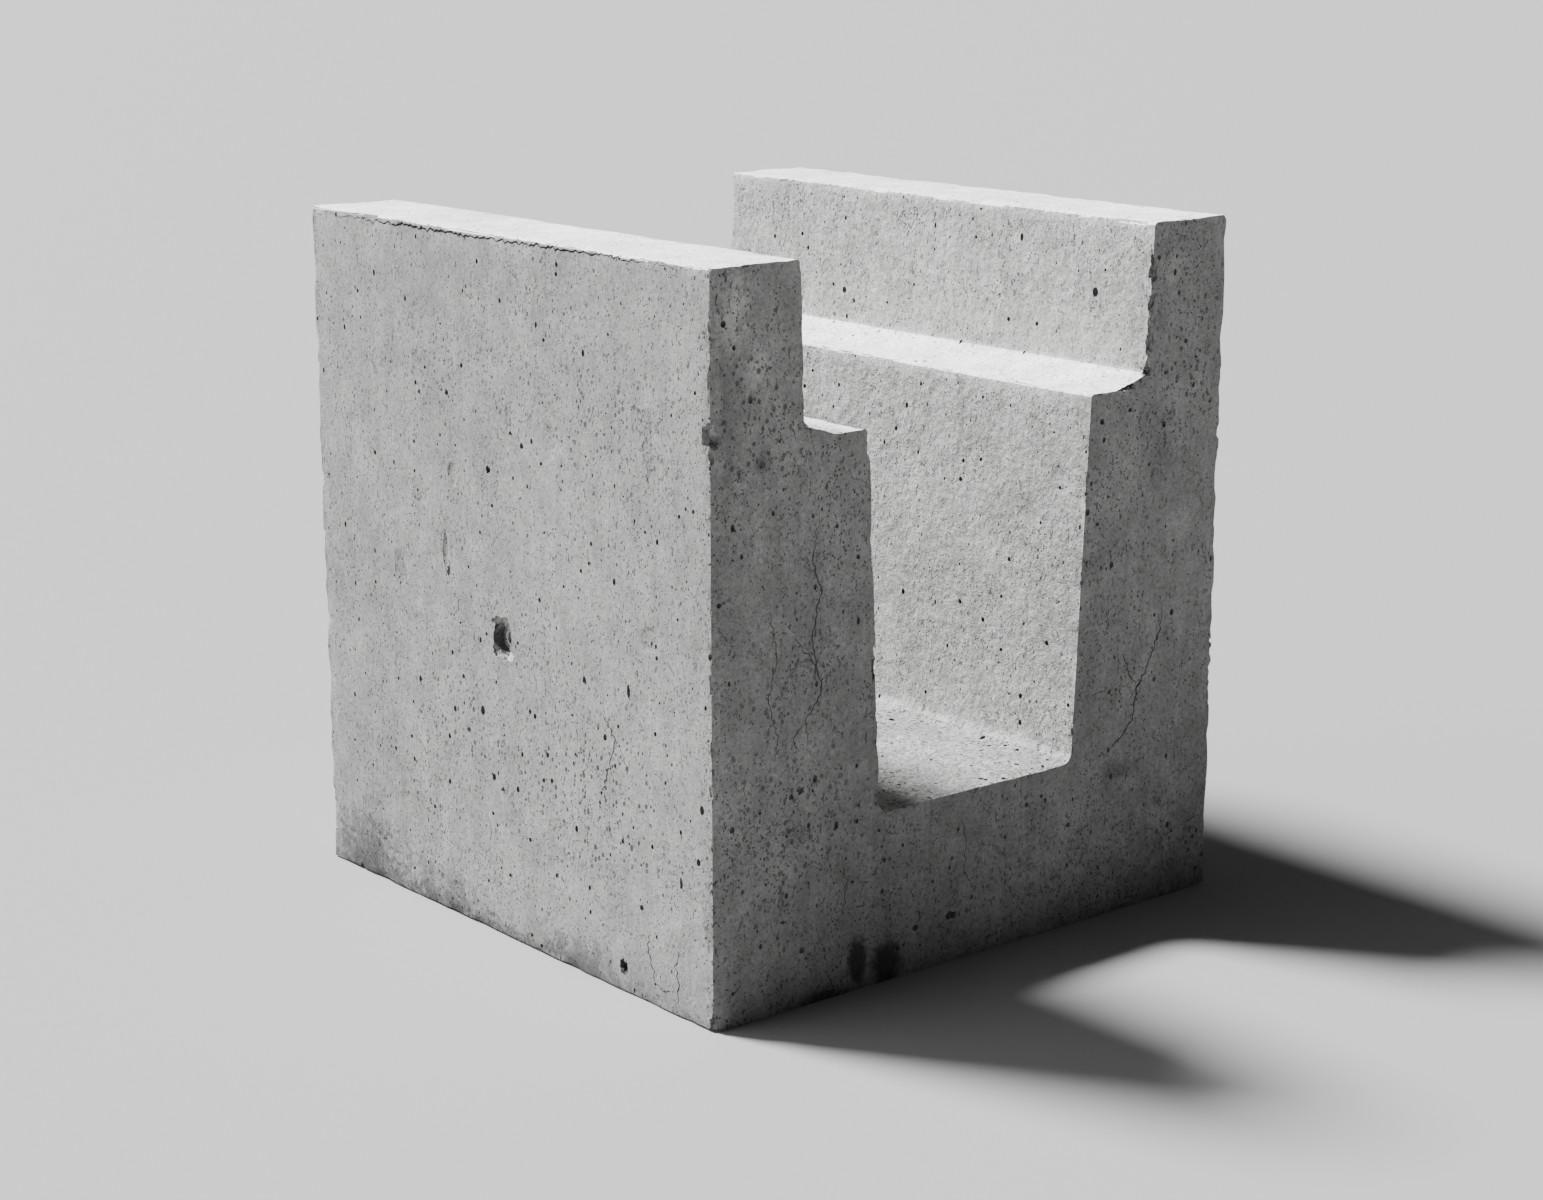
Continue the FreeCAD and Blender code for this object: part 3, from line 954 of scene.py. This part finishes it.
    def air_share(self, centre: Vector, skin: Skin) -> float:
        """How thickly voids lie at a place.

        Args:
            centre: The place.
            skin: Its surface.

        Returns:
            A share from 0 to 1.
        """
        if centre.z < 1.0 * MM:
            return 0.12
        share = {Skin.FORMED: 0.60, Skin.CHANNEL: 0.45, Skin.FLOATED: 0.20, Skin.TROWELLED: 0.9}[skin]
        band = math.exp(-(((centre.z - 0.19) / 0.11) ** 2)) + math.exp(-(((centre.z - 0.47) / 0.08) ** 2))
        return min(1.0, max(0.05, share + 0.4 * band + 0.35 * wobble(centre, 7.0, 3.0)))

    def weather(self, piece: Piece) -> None:
        """Move the surface in by small amounts: casting waves, wear on the arrises and coarse relief.

        Args:
            piece: The blank block.
        """
        count = len(piece.data.vertices)
        places = np.empty(count * 3)
        normals = np.empty(count * 3)
        piece.data.vertices.foreach_get("co", places)
        piece.data.vertex_normals.foreach_get("vector", normals)
        places, normals = places.reshape(-1, 3), normals.reshape(-1, 3)
        nearest = np.full(count, 1.0)
        for a, b in self.arrises():
            a, along = np.array(a), np.array(b) - np.array(a)
            share = np.clip(((places - a) @ along) / (along @ along), 0.0, 1.0)
            nearest = np.minimum(nearest, np.linalg.norm(places - (a + share[:, None] * along), axis=1))
        inner = (np.abs(places[:, 0]) < 0.206) & (places[:, 2] > 0.15) & (np.abs(normals[:, 1]) < 0.6)
        moved = np.empty(count)
        for i, place in enumerate(places):
            here = Vector(place)
            waves = 0.35 * MM * (1.0 + wobble(here, 5.0, 1.0))
            rough = (0.9 if inner[i] else 0.18) * MM * (0.5 + wobble(here, 55.0, 2.0))
            worn = 0.0
            if nearest[i] < 12.0 * MM:
                bite = max(0.0, 0.25 + wobble(here, 32.0, 4.0) + 0.7 * wobble(here, 110.0, 5.0))
                worn = (0.5 + 2.2 * bite) * MM * math.exp(-((nearest[i] / (4.2 * MM)) ** 2))
            moved[i] = max(0.0, waves + rough + worn)
        places = places - normals * moved[:, None]
        places[:, 2] = np.maximum(places[:, 2], 0.0)
        piece.data.vertices.foreach_set("co", places.ravel())
        piece.data.update()

    def sort_faces(self, piece: Piece) -> None:
        """Give each face its surface's material and its share of air voids.

        Args:
            piece: The weathered block.
        """
        for skin in Skin:
            piece.data.materials.append(MATERIALS[skin])
        shares = piece.data.attributes.new("air_share", "FLOAT", "FACE")
        for face in piece.data.polygons:
            skin = self.skin_of(face.center, face.normal)
            face.material_index = skin.value
            shares.data[face.index].value = self.air_share(face.center, skin)

    def arris_paths(self) -> Piece:
        """The arrises as bare edges, pulled in a little from the corners.

        Returns:
            The object.
        """
        points, pairs = [], []
        for a, b in self.arrises():
            start, end = Vector(a), Vector(b)
            along = end - start
            if max(start.z, end.z) < 1.0 * MM or along.length <= 30.0 * MM:
                continue
            inset = along.normalized() * 9.0 * MM
            pairs.append((len(points), len(points) + 1))
            points += [start + inset, end - inset]
        return object_from("arris_paths", points, [], pairs)


@dataclass(frozen=True)
class Dent:
    """A shallow hollow that the form left in an outer face."""

    centre: Point
    outward: Point
    radii: Point
    depth: float


@dataclass
class Damage:
    """The chips, dents, cracks and holes that are broken out of the block."""

    chips: tuple[Chip, ...]
    pits: tuple[Chip, ...]
    dents: tuple[Dent, ...]
    cracks: tuple[tuple[Crack, ...], ...]

    def dent_tool(self) -> Piece:
        """All the dents as one tool.

        Returns:
            The tool.
        """
        reach = 40.0 * MM
        pieces = []
        for i, dent in enumerate(self.dents):
            piece = lump(f"dent_{i}", (0.0, 0.0, 0.0), (1.0, 1.0, 1.0), 3.1 * i + 1.9, 4, 0.16)
            outward = Vector(dent.outward)
            for vertex in piece.data.vertices:
                flat = Vector([d * r for d, r in zip(vertex.co, dent.radii)])
                flat -= outward * flat.dot(outward)
                away = vertex.co.dot(outward)
                lift = away * (dent.depth + reach if away > 0 else dent.depth)
                vertex.co = Vector(dent.centre) + flat + outward * lift
            pieces.append(piece)
        return dress(joined(pieces), MATERIALS[Skin.FORMED])

    def chip_tool(self, broken: Sequence[Chip], skin: Skin) -> Piece:
        """A set of placed chips or pits as one tool.

        Args:
            broken: The chips.
            skin: The surface that they leave.

        Returns:
            The tool.
        """
        pieces = []
        for i, chip in enumerate(broken):
            rounds = 3 if max(chip.radii) > 5 * MM else 2
            pieces.append(lump(f"chip_{i}", chip.centre, chip.radii, 2.3 * i + 0.7, rounds, 0.55))
        return dress(joined(pieces), MATERIALS[skin])

    def crack_tool(self, cracks: Sequence[Crack], seed: int) -> Piece:
        """A set of cracks that don't meet, as thin wedges to cut with.

        Args:
            cracks: The cracks.
            seed: Sets their jitter.

        Returns:
            The tool.
        """
        draw = np.random.default_rng(seed)
        vertices: list[Vector] = []
        faces: list[list[int]] = []
        for crack in cracks:
            outward = Vector(crack.outward)
            path = [Vector(crack.points[0])]
            for a, b in zip(crack.points, crack.points[1:]):
                start, end = Vector(a), Vector(b)
                count = max(1, round((end - start).length / (3.5 * MM)))
                path += [start.lerp(end, k / count) for k in range(1, count + 1)]
            heading = [(after - before).normalized() for before, after in zip([path[0], *path], [*path[1:], path[-1]])]
            first = len(vertices)
            total = len(path) - 1
            for k, (place, ahead) in enumerate(zip(path, heading)):
                side = ahead.cross(outward).normalized()
                place = place + side * draw.normal(0.0, 1.0 * MM)
                lip = place + outward * MM
                fade = min(1.0, 0.25 + 3.0 * min(k, total - k) / total)
                half = crack.width * fade * draw.uniform(0.35, 0.65)
                deep = crack.depth * fade + 0.7 * MM
                vertices += [lip + side * half * 1.6, lip - side * half * 1.6, place - outward * deep]
            for k in range(total):
                a, b = first + 3 * k, first + 3 * (k + 1)
                faces += [[a + j, a + (j + 1) % 3, b + (j + 1) % 3, b + j] for j in range(3)]
            faces += [[first + 2, first + 1, first], [first + 3 * total + j for j in range(3)]]
        tool = object_from("cracks", vertices, faces)
        shape = bmesh.new()
        shape.from_mesh(tool.data)
        bmesh.ops.recalc_face_normals(shape, faces=shape.faces[:])
        bmesh.ops.triangulate(shape, faces=shape.faces[:])
        shape.to_mesh(tool.data)
        shape.free()
        # The crack walls take the near-black painted shade.
        return dress(tool, MATERIALS[Skin.VOID])


@dataclass
class LiftingSocket:
    """A zinc-plated threaded ferrule cast into one side of the block."""

    name: str
    side: float
    height: float = 0.280
    face: float = 0.300
    recess: float = 0.010
    length: float = 0.070
    radius: float = 0.011
    hole_radius: float = 0.007
    thread_depth: float = 0.8 * MM
    pitch: float = 2.0 * MM
    threaded: float = 0.034
    mouth_radius: float = 0.0135

    def space_tool(self) -> Piece:
        """What the socket and its recess take out of the concrete.

        Returns:
            The tool.
        """
        mouth = self.face - self.recess
        tail = mouth - self.length
        outline = [
            (tail, 0.0),
            (tail, self.radius),
            (mouth, self.radius),
            (mouth, self.radius + 1.0 * MM),
            (self.face, self.mouth_radius),
            (self.face + 6.0 * MM, self.mouth_radius + 0.8 * MM),
            (self.face + 6.0 * MM, 0.0),
        ]
        # The socket recess is lined with near-black painted shade.
        return dress(lathe(self.name + "_space", outline, 40, self.side, self.height), MATERIALS[Skin.VOID])

    def spall_tools(self) -> list[Piece]:
        """The broken places round the mouth.

        Returns:
            Uneven balls that overlap the recess.
        """
        rows = (
            (0.0, 0.0, 8.5, 14.5, 19.0),
            (8.0, 15.0, 3.5, 7.0, 4.0),
            (9.0, -11.0, 4.0, 6.0, 6.0),
            (-10.0, -13.0, 3.0, 9.0, 7.0),
            (-12.5, 6.0, 1.4, 3.0, 8.0),
        )
        tools = []
        for i, (y, z, *radii) in enumerate(rows):
            centre = (self.side * self.face, y * MM, self.height + z * MM)
            tool = lump(f"{self.name}_spall_{i}", centre, [r * MM for r in radii], 5.1 * i + self.side, 3, 0.5)
            tools.append(dress(tool, MATERIALS[Skin.BROKEN]))
        return tools

    def ferrule(self) -> Piece:
        """The steel socket with its ringed thread.

        Returns:
            The finished piece.
        """
        mouth = self.face - self.recess
        tail = mouth - self.length
        outline = [(tail, 0.0), (tail, self.radius - 0.8 * MM), (tail + 0.8 * MM, self.radius)]
        outline += [(mouth - 0.5 * MM, self.radius), (mouth, self.radius - 0.5 * MM)]
        outline.append((mouth, self.hole_radius + self.thread_depth + 0.4 * MM))
        turns = int(self.threaded / self.pitch)
        groove, bore = self.hole_radius + self.thread_depth, self.hole_radius + 0.1 * MM
        for k in range(turns):
            start = mouth - 1.0 * MM - self.pitch * k
            outline.append((start, bore if k else groove))
            outline += [(start - share * self.pitch, r) for share, r in ((0.25, bore), (0.5, groove), (0.75, groove))]
        end = mouth - 1.0 * MM - self.pitch * turns
        outline += [(end, self.hole_radius), (end - 2.5 * MM, 0.0)]
        return dress(lathe(self.name, outline, 40, self.side, self.height), STEELS_AND_SPACERS["zinc"])


MATERIALS: dict[Skin, Material] = {skin: finish.make() for skin, finish in FINISHES.items()}
STEELS_AND_SPACERS: dict[str, Material] = {
    "bar": BAR_STEEL.make(),
    "wire": WIRE_STEEL.make(),
    "zinc": ZINC_STEEL.make(),
    "plastic": SPACER_PLASTIC.make(),
    "mortar": CHAIR_MORTAR.make(),
}

LEFT, FRONT = -0.3, -0.3
def chips(*rows: tuple[float, ...]) -> tuple[Chip, ...]:
    """Chips from rows of millimetres: the centre, then the three radii."""
    return tuple(Chip(tuple(v / 1000 for v in r[:3]), tuple(v / 1000 for v in r[3:])) for r in rows)


CHIPS = chips(
    (-300, -300, 503, 10.5, 10, 15), (-300, -300, 489, 6, 6.5, 8), (-300, -300, 552, 4, 3.4, 13),
    (-300, -300, 246, 3.6, 3, 10), (-300, -300, 438, 2.8, 2.6, 6), (-300, -300, 300, 3, 3, 9),
    (-300, -300, 6, 6, 7, 11), (-300, -300, 639.5, 4, 5, 3.5), (205, -300, 598, 6.2, 5, 13),
    (203, -300, 566, 4.6, 4.2, 9), (201, -300, 531, 5.6, 4.6, 10), (201, -300, 549, 3, 3, 6),
    (199, -300, 506, 6, 6, 5.2), (172, -300, 494, 11, 5, 3.2), (146, -300, 494, 8, 4, 3),
    (130, -262, 493, 2.8, 18, 3), (130, -150, 493, 2.5, 10, 2.8), (-124, -300, 284, 3, 4, 11),
    (-130, -240, 493, 2.5, 12, 2.5), (-300, 205, 640, 3.5, 24, 3), (-300, 120, 640, 2.8, 16, 2.4),
    (-300, 20, 640, 2.2, 14, 2), (205, -190, 640, 3, 16, 3), (205, 60, 640, 2.8, 20, 2.8), (300, -300, 640, 5, 5, 5),
    (-205, -300, 640, 3.5, 4, 4), (300, 300, 150, 6, 5, 12), (-300, 300, 380, 5, 5, 10), (300, -300, 210, 4, 3, 12),
)
PITS = chips(
    (-300, -176, 24, 6, 5.2, 7.2), (-300, 16, 431, 4, 3.8, 3.6), (-300, -124, 269, 3, 2.2, 4.2),
    (-300, -187, 272, 3.4, 2.4, 5.6), (-300, -177, 137, 3, 2.2, 3.4), (-300, -258, 120, 3, 2.1, 5.2),
    (-300, -62, 568, 2.4, 2, 3), (-300, -8, 583, 2.2, 1.8, 2.6), (-300, 83, 330, 2.2, 3, 7),
    (-300, 135, 216, 2.2, 2.2, 3), (-300, 3, 140, 2.6, 2.4, 2.6), (-300, 56, 184, 2.6, 3.4, 2.8),
    (-32, -300, 43, 5.8, 3.5, 3.8), (-205, -300, 193, 3.4, 2.6, 3), (-215, -300, 190, 3, 2, 2.2),
    (-73, -300, 41, 3, 2.6, 3), (-110, -300, 112, 2.4, 2.2, 2.6), (212, -300, 607, 2.6, 2.2, 2.6),
    (180, -300, 473, 2.6, 2.2, 2.4), (-245, -300, 476, 4, 2.2, 4),
)
TOWARDS_LEFT: Point = (-1.0, 0.0, 0.0)
TOWARDS_FRONT: Point = (0.0, -1.0, 0.0)
DENTS = (
    Dent((LEFT, 0.162, 0.318), TOWARDS_LEFT, (1.0, 0.012, 0.018), 1.3 * MM),
    Dent((LEFT, 0.086, 0.346), TOWARDS_LEFT, (1.0, 0.005, 0.020), 1.8 * MM),
    Dent((LEFT, -0.218, 0.323), TOWARDS_LEFT, (1.0, 0.013, 0.013), 1.2 * MM),
    Dent((LEFT, 0.072, 0.418), TOWARDS_LEFT, (1.0, 0.008, 0.012), 1.2 * MM),
    Dent((LEFT, -0.085, 0.470), TOWARDS_LEFT, (1.0, 0.010, 0.016), 1.0 * MM),
    Dent((LEFT, -0.020, 0.485), TOWARDS_LEFT, (1.0, 0.007, 0.015), 1.0 * MM),
    Dent((-0.245, FRONT, 0.478), TOWARDS_FRONT, (0.009, 1.0, 0.009), 1.4 * MM),
    Dent((0.215, FRONT, 0.405), TOWARDS_FRONT, (0.011, 1.0, 0.015), 1.2 * MM),
    Dent((0.168, FRONT, 0.138), TOWARDS_FRONT, (0.020, 1.0, 0.008), 1.4 * MM),
)


def front(width: float, *pairs: tuple[float, float]) -> Crack:
    """A crack in the front end, from its width and pairs of x and z in millimetres."""
    return Crack(tuple((x * MM, FRONT, z * MM) for x, z in pairs), TOWARDS_FRONT, width * MM)


def left(width: float, *pairs: tuple[float, float]) -> Crack:
    """A crack in the left outer face, from its width and pairs of y and z in millimetres."""
    return Crack(tuple((LEFT, y * MM, z * MM) for y, z in pairs), TOWARDS_LEFT, width * MM)


SEAM_PLACES = (0.285, 0.21, 0.13, 0.05, -0.06, -0.17, -0.27)
MAIN_CRACKS = (
    front(
        1.3, (-188, 441), (-185, 422), (-193, 390), (-183, 363), (-193, 322),
        (-182, 277), (-199, 254), (-197, 227), (-190, 212),
    ),
    front(0.9, (-240, 372), (-238, 355), (-230, 311), (-240, 279), (-230, 238), (-236, 214)),
    front(1.7, (231, 300), (228, 263), (215, 236), (199, 210), (195, 183), (172, 162), (152, 149)),
    front(0.9, (-25, 140), (-12, 112), (-16, 84), (-2, 60)),
    front(0.8, (-160, 130), (-152, 96), (-161, 62)),
    left(1.5, (-147, 256), (-152, 243), (-168, 225), (-161, 205), (-157, 196), (-150, 178), (-145, 166)),
    left(1.0, (-48, 262), (-52, 250), (-55, 236)),
    left(1.3, (-214, 68), (-210, 50), (-219, 32), (-220, 15)),
    left(1.6, (-256, 62), (-250, 44), (-254, 26), (-248, 8)),
    left(0.8, (30, 120), (24, 96), (28, 76), (22, 60)),
    Crack(
        tuple((LEFT, y, z) for y, z in zip(SEAM_PLACES, (0.6348, 0.6342, 0.6350, 0.6344, 0.6352, 0.6360, 0.6366))),
        TOWARDS_LEFT,
        2.4 * MM,
        2.6 * MM,
    ),
    Crack(((0.2045, 0.019, 0.630), (0.204, 0.013, 0.619), (0.204, 0.021, 0.606)), TOWARDS_LEFT, 0.9 * MM, 2.4 * MM),
)
BRANCH_CRACKS = (
    front(0.9, (-213, 332), (-206, 320), (-193, 305), (-184, 290)),
    front(1.2, (176, 252), (194, 220), (200, 211)),
    front(0.8, (-199, 256), (-212, 240), (-208, 224)),
    left(0.8, (-166, 224), (-178, 214), (-186, 196)),
    left(1.0, (-223, 21), (-234, 18), (-243, 21)),
)


# ---- assembly


NICKS = {"Spacing": 0.0095, "Density": 0.55, "Smallest": 0.0008, "Largest": 0.0040, "Depth": 2.0, "Unevenness": 0.0034}
VOID_SIZES = ("Spacing", "Density", "Smallest", "Largest", "Unevenness", "Seed", "Fineness")
VOIDS = {
    "bug_holes": dict(zip(VOID_SIZES, (0.016, 170.0, 0.0018, 0.0036, 0.0020, 7, 2))),
    "air_voids": dict(zip(VOID_SIZES, (0.0080, 1150.0, 0.00105, 0.0028, 0.0014, 9, 1))),
    "pin_holes": dict(zip(VOID_SIZES, (0.0058, 650.0, 0.00070, 0.0013, 0.0008, 8, 1))),
}


@dataclass
class Concrete:
    """Builds the block, breaks it and hands it over."""

    block: ConcreteBlock
    damage: Damage
    sockets: Sequence[LiftingSocket]
    nicks: Mapping = field(default_factory=lambda: NICKS)
    voids: Mapping = field(default_factory=lambda: VOIDS)
    smooth_below: float = math.radians(38.0)

    def build(self) -> Piece:
        """Make the finished concrete.

        Returns:
            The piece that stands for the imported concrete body.
        """
        body = self.block.blank()
        self.block.weather(body)
        self.block.sort_faces(body)
        paths = self.block.arris_paths()
        nicks = ArrisNicks().grow(paths, "nicks", Seed=11, Fineness=1, Finish=MATERIALS[Skin.BROKEN], **self.nicks)
        discard(paths)
        scatter = SurfaceVoids()
        # The cut bug holes, air voids and pin holes are lined with near-black painted shade.
        hollow = {"Depth": 1.0, "Finish": MATERIALS[Skin.VOID]}
        tools = [scatter.grow(body, name, **hollow, **sizes) for name, sizes in self.voids.items()]
        for tool in (*tools, nicks):
            merge_shape(body, tool)
        for group, cracks in enumerate(self.damage.cracks):
            merge_shape(body, self.damage.crack_tool(cracks, 21 + group))
        for socket in self.sockets:
            merge_shape(body, joined([socket.space_tool(), *socket.spall_tools()]))
        merge_shape(body, self.damage.chip_tool(self.damage.chips, Skin.BROKEN))
        # The pits are lined with near-black painted shade.
        merge_shape(body, self.damage.chip_tool(self.damage.pits, Skin.VOID))
        merge_shape(body, self.damage.dent_tool())
        self.clean(body)
        return body

    def clean(self, body: Piece) -> None:
        """Close hairline gaps, drop loose specks and set the shading.

        Args:
            body: The cut block.
        """
        shape = bmesh.new()
        shape.from_mesh(body.data)
        bmesh.ops.triangulate(shape, faces=shape.faces[:])
        for _ in range(4):
            pinched = [edge for edge in shape.edges if len(edge.link_faces) > 2]
            if not pinched:
                break
            bmesh.ops.collapse(shape, edges=pinched)
        bmesh.ops.delete(shape, geom=[edge for edge in shape.edges if not edge.link_faces], context="EDGES")
        bmesh.ops.delete(shape, geom=[vertex for vertex in shape.verts if not vertex.link_faces], context="VERTS")
        left = set(shape.verts)
        islands = []
        while left:
            todo, island = [left.pop()], set()
            while todo:
                vertex = todo.pop()
                island.add(vertex)
                for edge in vertex.link_edges:
                    other = edge.other_vert(vertex)
                    if other in left:
                        left.discard(other)
                        todo.append(other)
            islands.append(island)
        islands.sort(key=len)
        loose = [vertex for island in islands[:-1] for vertex in island]
        bmesh.ops.delete(shape, geom=loose, context="VERTS")
        shape.to_mesh(body.data)
        shape.free()
        body.data.attributes.remove(body.data.attributes["air_share"])
        body.data.polygons.foreach_set("use_smooth", np.ones(len(body.data.polygons), dtype=bool))
        body.data.set_sharp_from_angle(angle=self.smooth_below)
        LOG.info("concrete: %d triangles, %d loose specks dropped", len(body.data.polygons), len(islands) - 1)


@dataclass
class CastInParts:
    """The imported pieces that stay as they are, with better finishes."""

    finishes: tuple[tuple[str, str], ...] = (
        ("tie_set", "wire"),
        ("wheel_spacer", "plastic"),
        ("base_chair", "mortar"),
        ("link", "bar"),
        ("hairpin", "bar"),
        ("bar", "bar"),
    )

    def dress(self) -> None:
        """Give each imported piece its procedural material."""
        for name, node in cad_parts.items():
            for word, finish in self.finishes:
                if word in name:
                    for slot in node.material_slots:
                        slot.material = STEELS_AND_SPACERS[finish]
                    LOG.info("piece %s takes %s", name, finish)
                    break


@dataclass
class Studio:
    """A pale floor, soft light from behind the left wall, and the camera."""

    lens: float = 69.03
    camera_place: Point = (-1.73078, -2.11395, 0.93572)
    azimuth: float = -0.689007
    elevation: float = 0.239155
    roll: float = -0.000646
    floor_reach: float = 60.0
    floor_tone: float = 0.29
    key_strength: float = 14.5
    key_spread: float = math.radians(14.0)
    key_from: Point = (-0.31, 0.70, 1.0)
    side_strength: float = 1.6
    side_spread: float = math.radians(50.0)
    side_from: Point = (-1.0, 0.55, 0.40)
    sky: float = 0.085

    def camera(self) -> None:
        """Place the camera."""
        level = math.cos(self.elevation)
        back = Vector((math.sin(self.azimuth) * level, -math.cos(self.azimuth) * level, math.sin(self.elevation)))
        across = Vector((0, 0, 1)).cross(back).normalized()
        turned = Matrix((across, back.cross(across), back)).transposed() @ Matrix.Rotation(self.roll, 3, "Z")
        data = bpy.data.cameras.new("camera")
        data.lens = self.lens
        data.sensor_width = 36.0
        data.clip_end = 200.0
        eye = bpy.data.objects.new("camera", data)
        eye.matrix_world = Matrix.Translation(self.camera_place) @ turned.to_4x4()
        bpy.context.scene.collection.objects.link(eye)
        bpy.context.scene.camera = eye

    def floor(self) -> None:
        """Lay the floor."""
        r = self.floor_reach
        floor = object_from("floor", [(-r, -r, 0), (r, -r, 0), (r, r, 0), (-r, r, 0)], [(0, 1, 2, 3)])
        graph = ShaderGraph("pale_floor")
        graph.feed(graph.shader.inputs["Base Color"], (*[self.floor_tone] * 3, 1.0))
        graph.feed(graph.shader.inputs["Roughness"], 0.9)
        dress(floor, graph.material)

    def lights(self) -> None:
        """Set a high key light, a wide soft light on the left wall, and the sky."""
        lamps = (
            ("key", self.key_strength, self.key_spread, self.key_from),
            ("side", self.side_strength, self.side_spread, self.side_from),
        )
        for name, strength, spread, source in lamps:
            data = bpy.data.lights.new(name, "SUN")
            data.energy = strength
            data.angle = spread
            lamp = bpy.data.objects.new(name, data)
            lamp.rotation_euler = Vector(source).to_track_quat("Z", "Y").to_euler()
            bpy.context.scene.collection.objects.link(lamp)
        world = bpy.data.worlds.new("sky")
        world.use_nodes = True
        background = world.node_tree.nodes["Background"]
        background.inputs[0].default_value = (1.0, 1.0, 1.0, 1.0)
        background.inputs[1].default_value = self.sky
        bpy.context.scene.world = world

    def build(self) -> None:
        """Build the whole studio."""
        self.camera()
        self.floor()
        self.lights()


def hand_over(piece: Piece, slot: str, *nodes: str) -> None:
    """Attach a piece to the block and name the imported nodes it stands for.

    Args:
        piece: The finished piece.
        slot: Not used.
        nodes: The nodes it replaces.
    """
    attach(piece, "root")
    if nodes:
        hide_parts(*nodes)
    LOG.info("piece %s: %d faces, stands for %s", piece.name, len(piece.data.polygons), ", ".join(nodes) or "nothing")


def main() -> None:
    """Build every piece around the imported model."""
    logging.basicConfig(level=logging.INFO, format="%(name)s: %(message)s")
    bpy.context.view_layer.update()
    Studio().build()
    sockets = [LiftingSocket("left_socket", -1.0), LiftingSocket("right_socket", 1.0)]
    concrete = Concrete(ConcreteBlock(), Damage(CHIPS, PITS, DENTS, (MAIN_CRACKS, BRANCH_CRACKS)), sockets)
    hand_over(concrete.build(), "concrete", "concrete_body")
    for socket in sockets:
        node = socket.name.replace("socket", "lifting_socket")
        hand_over(socket.ferrule(), "socket_steel", node)
    CastInParts().dress()


if __name__ == "__main__":
    main()
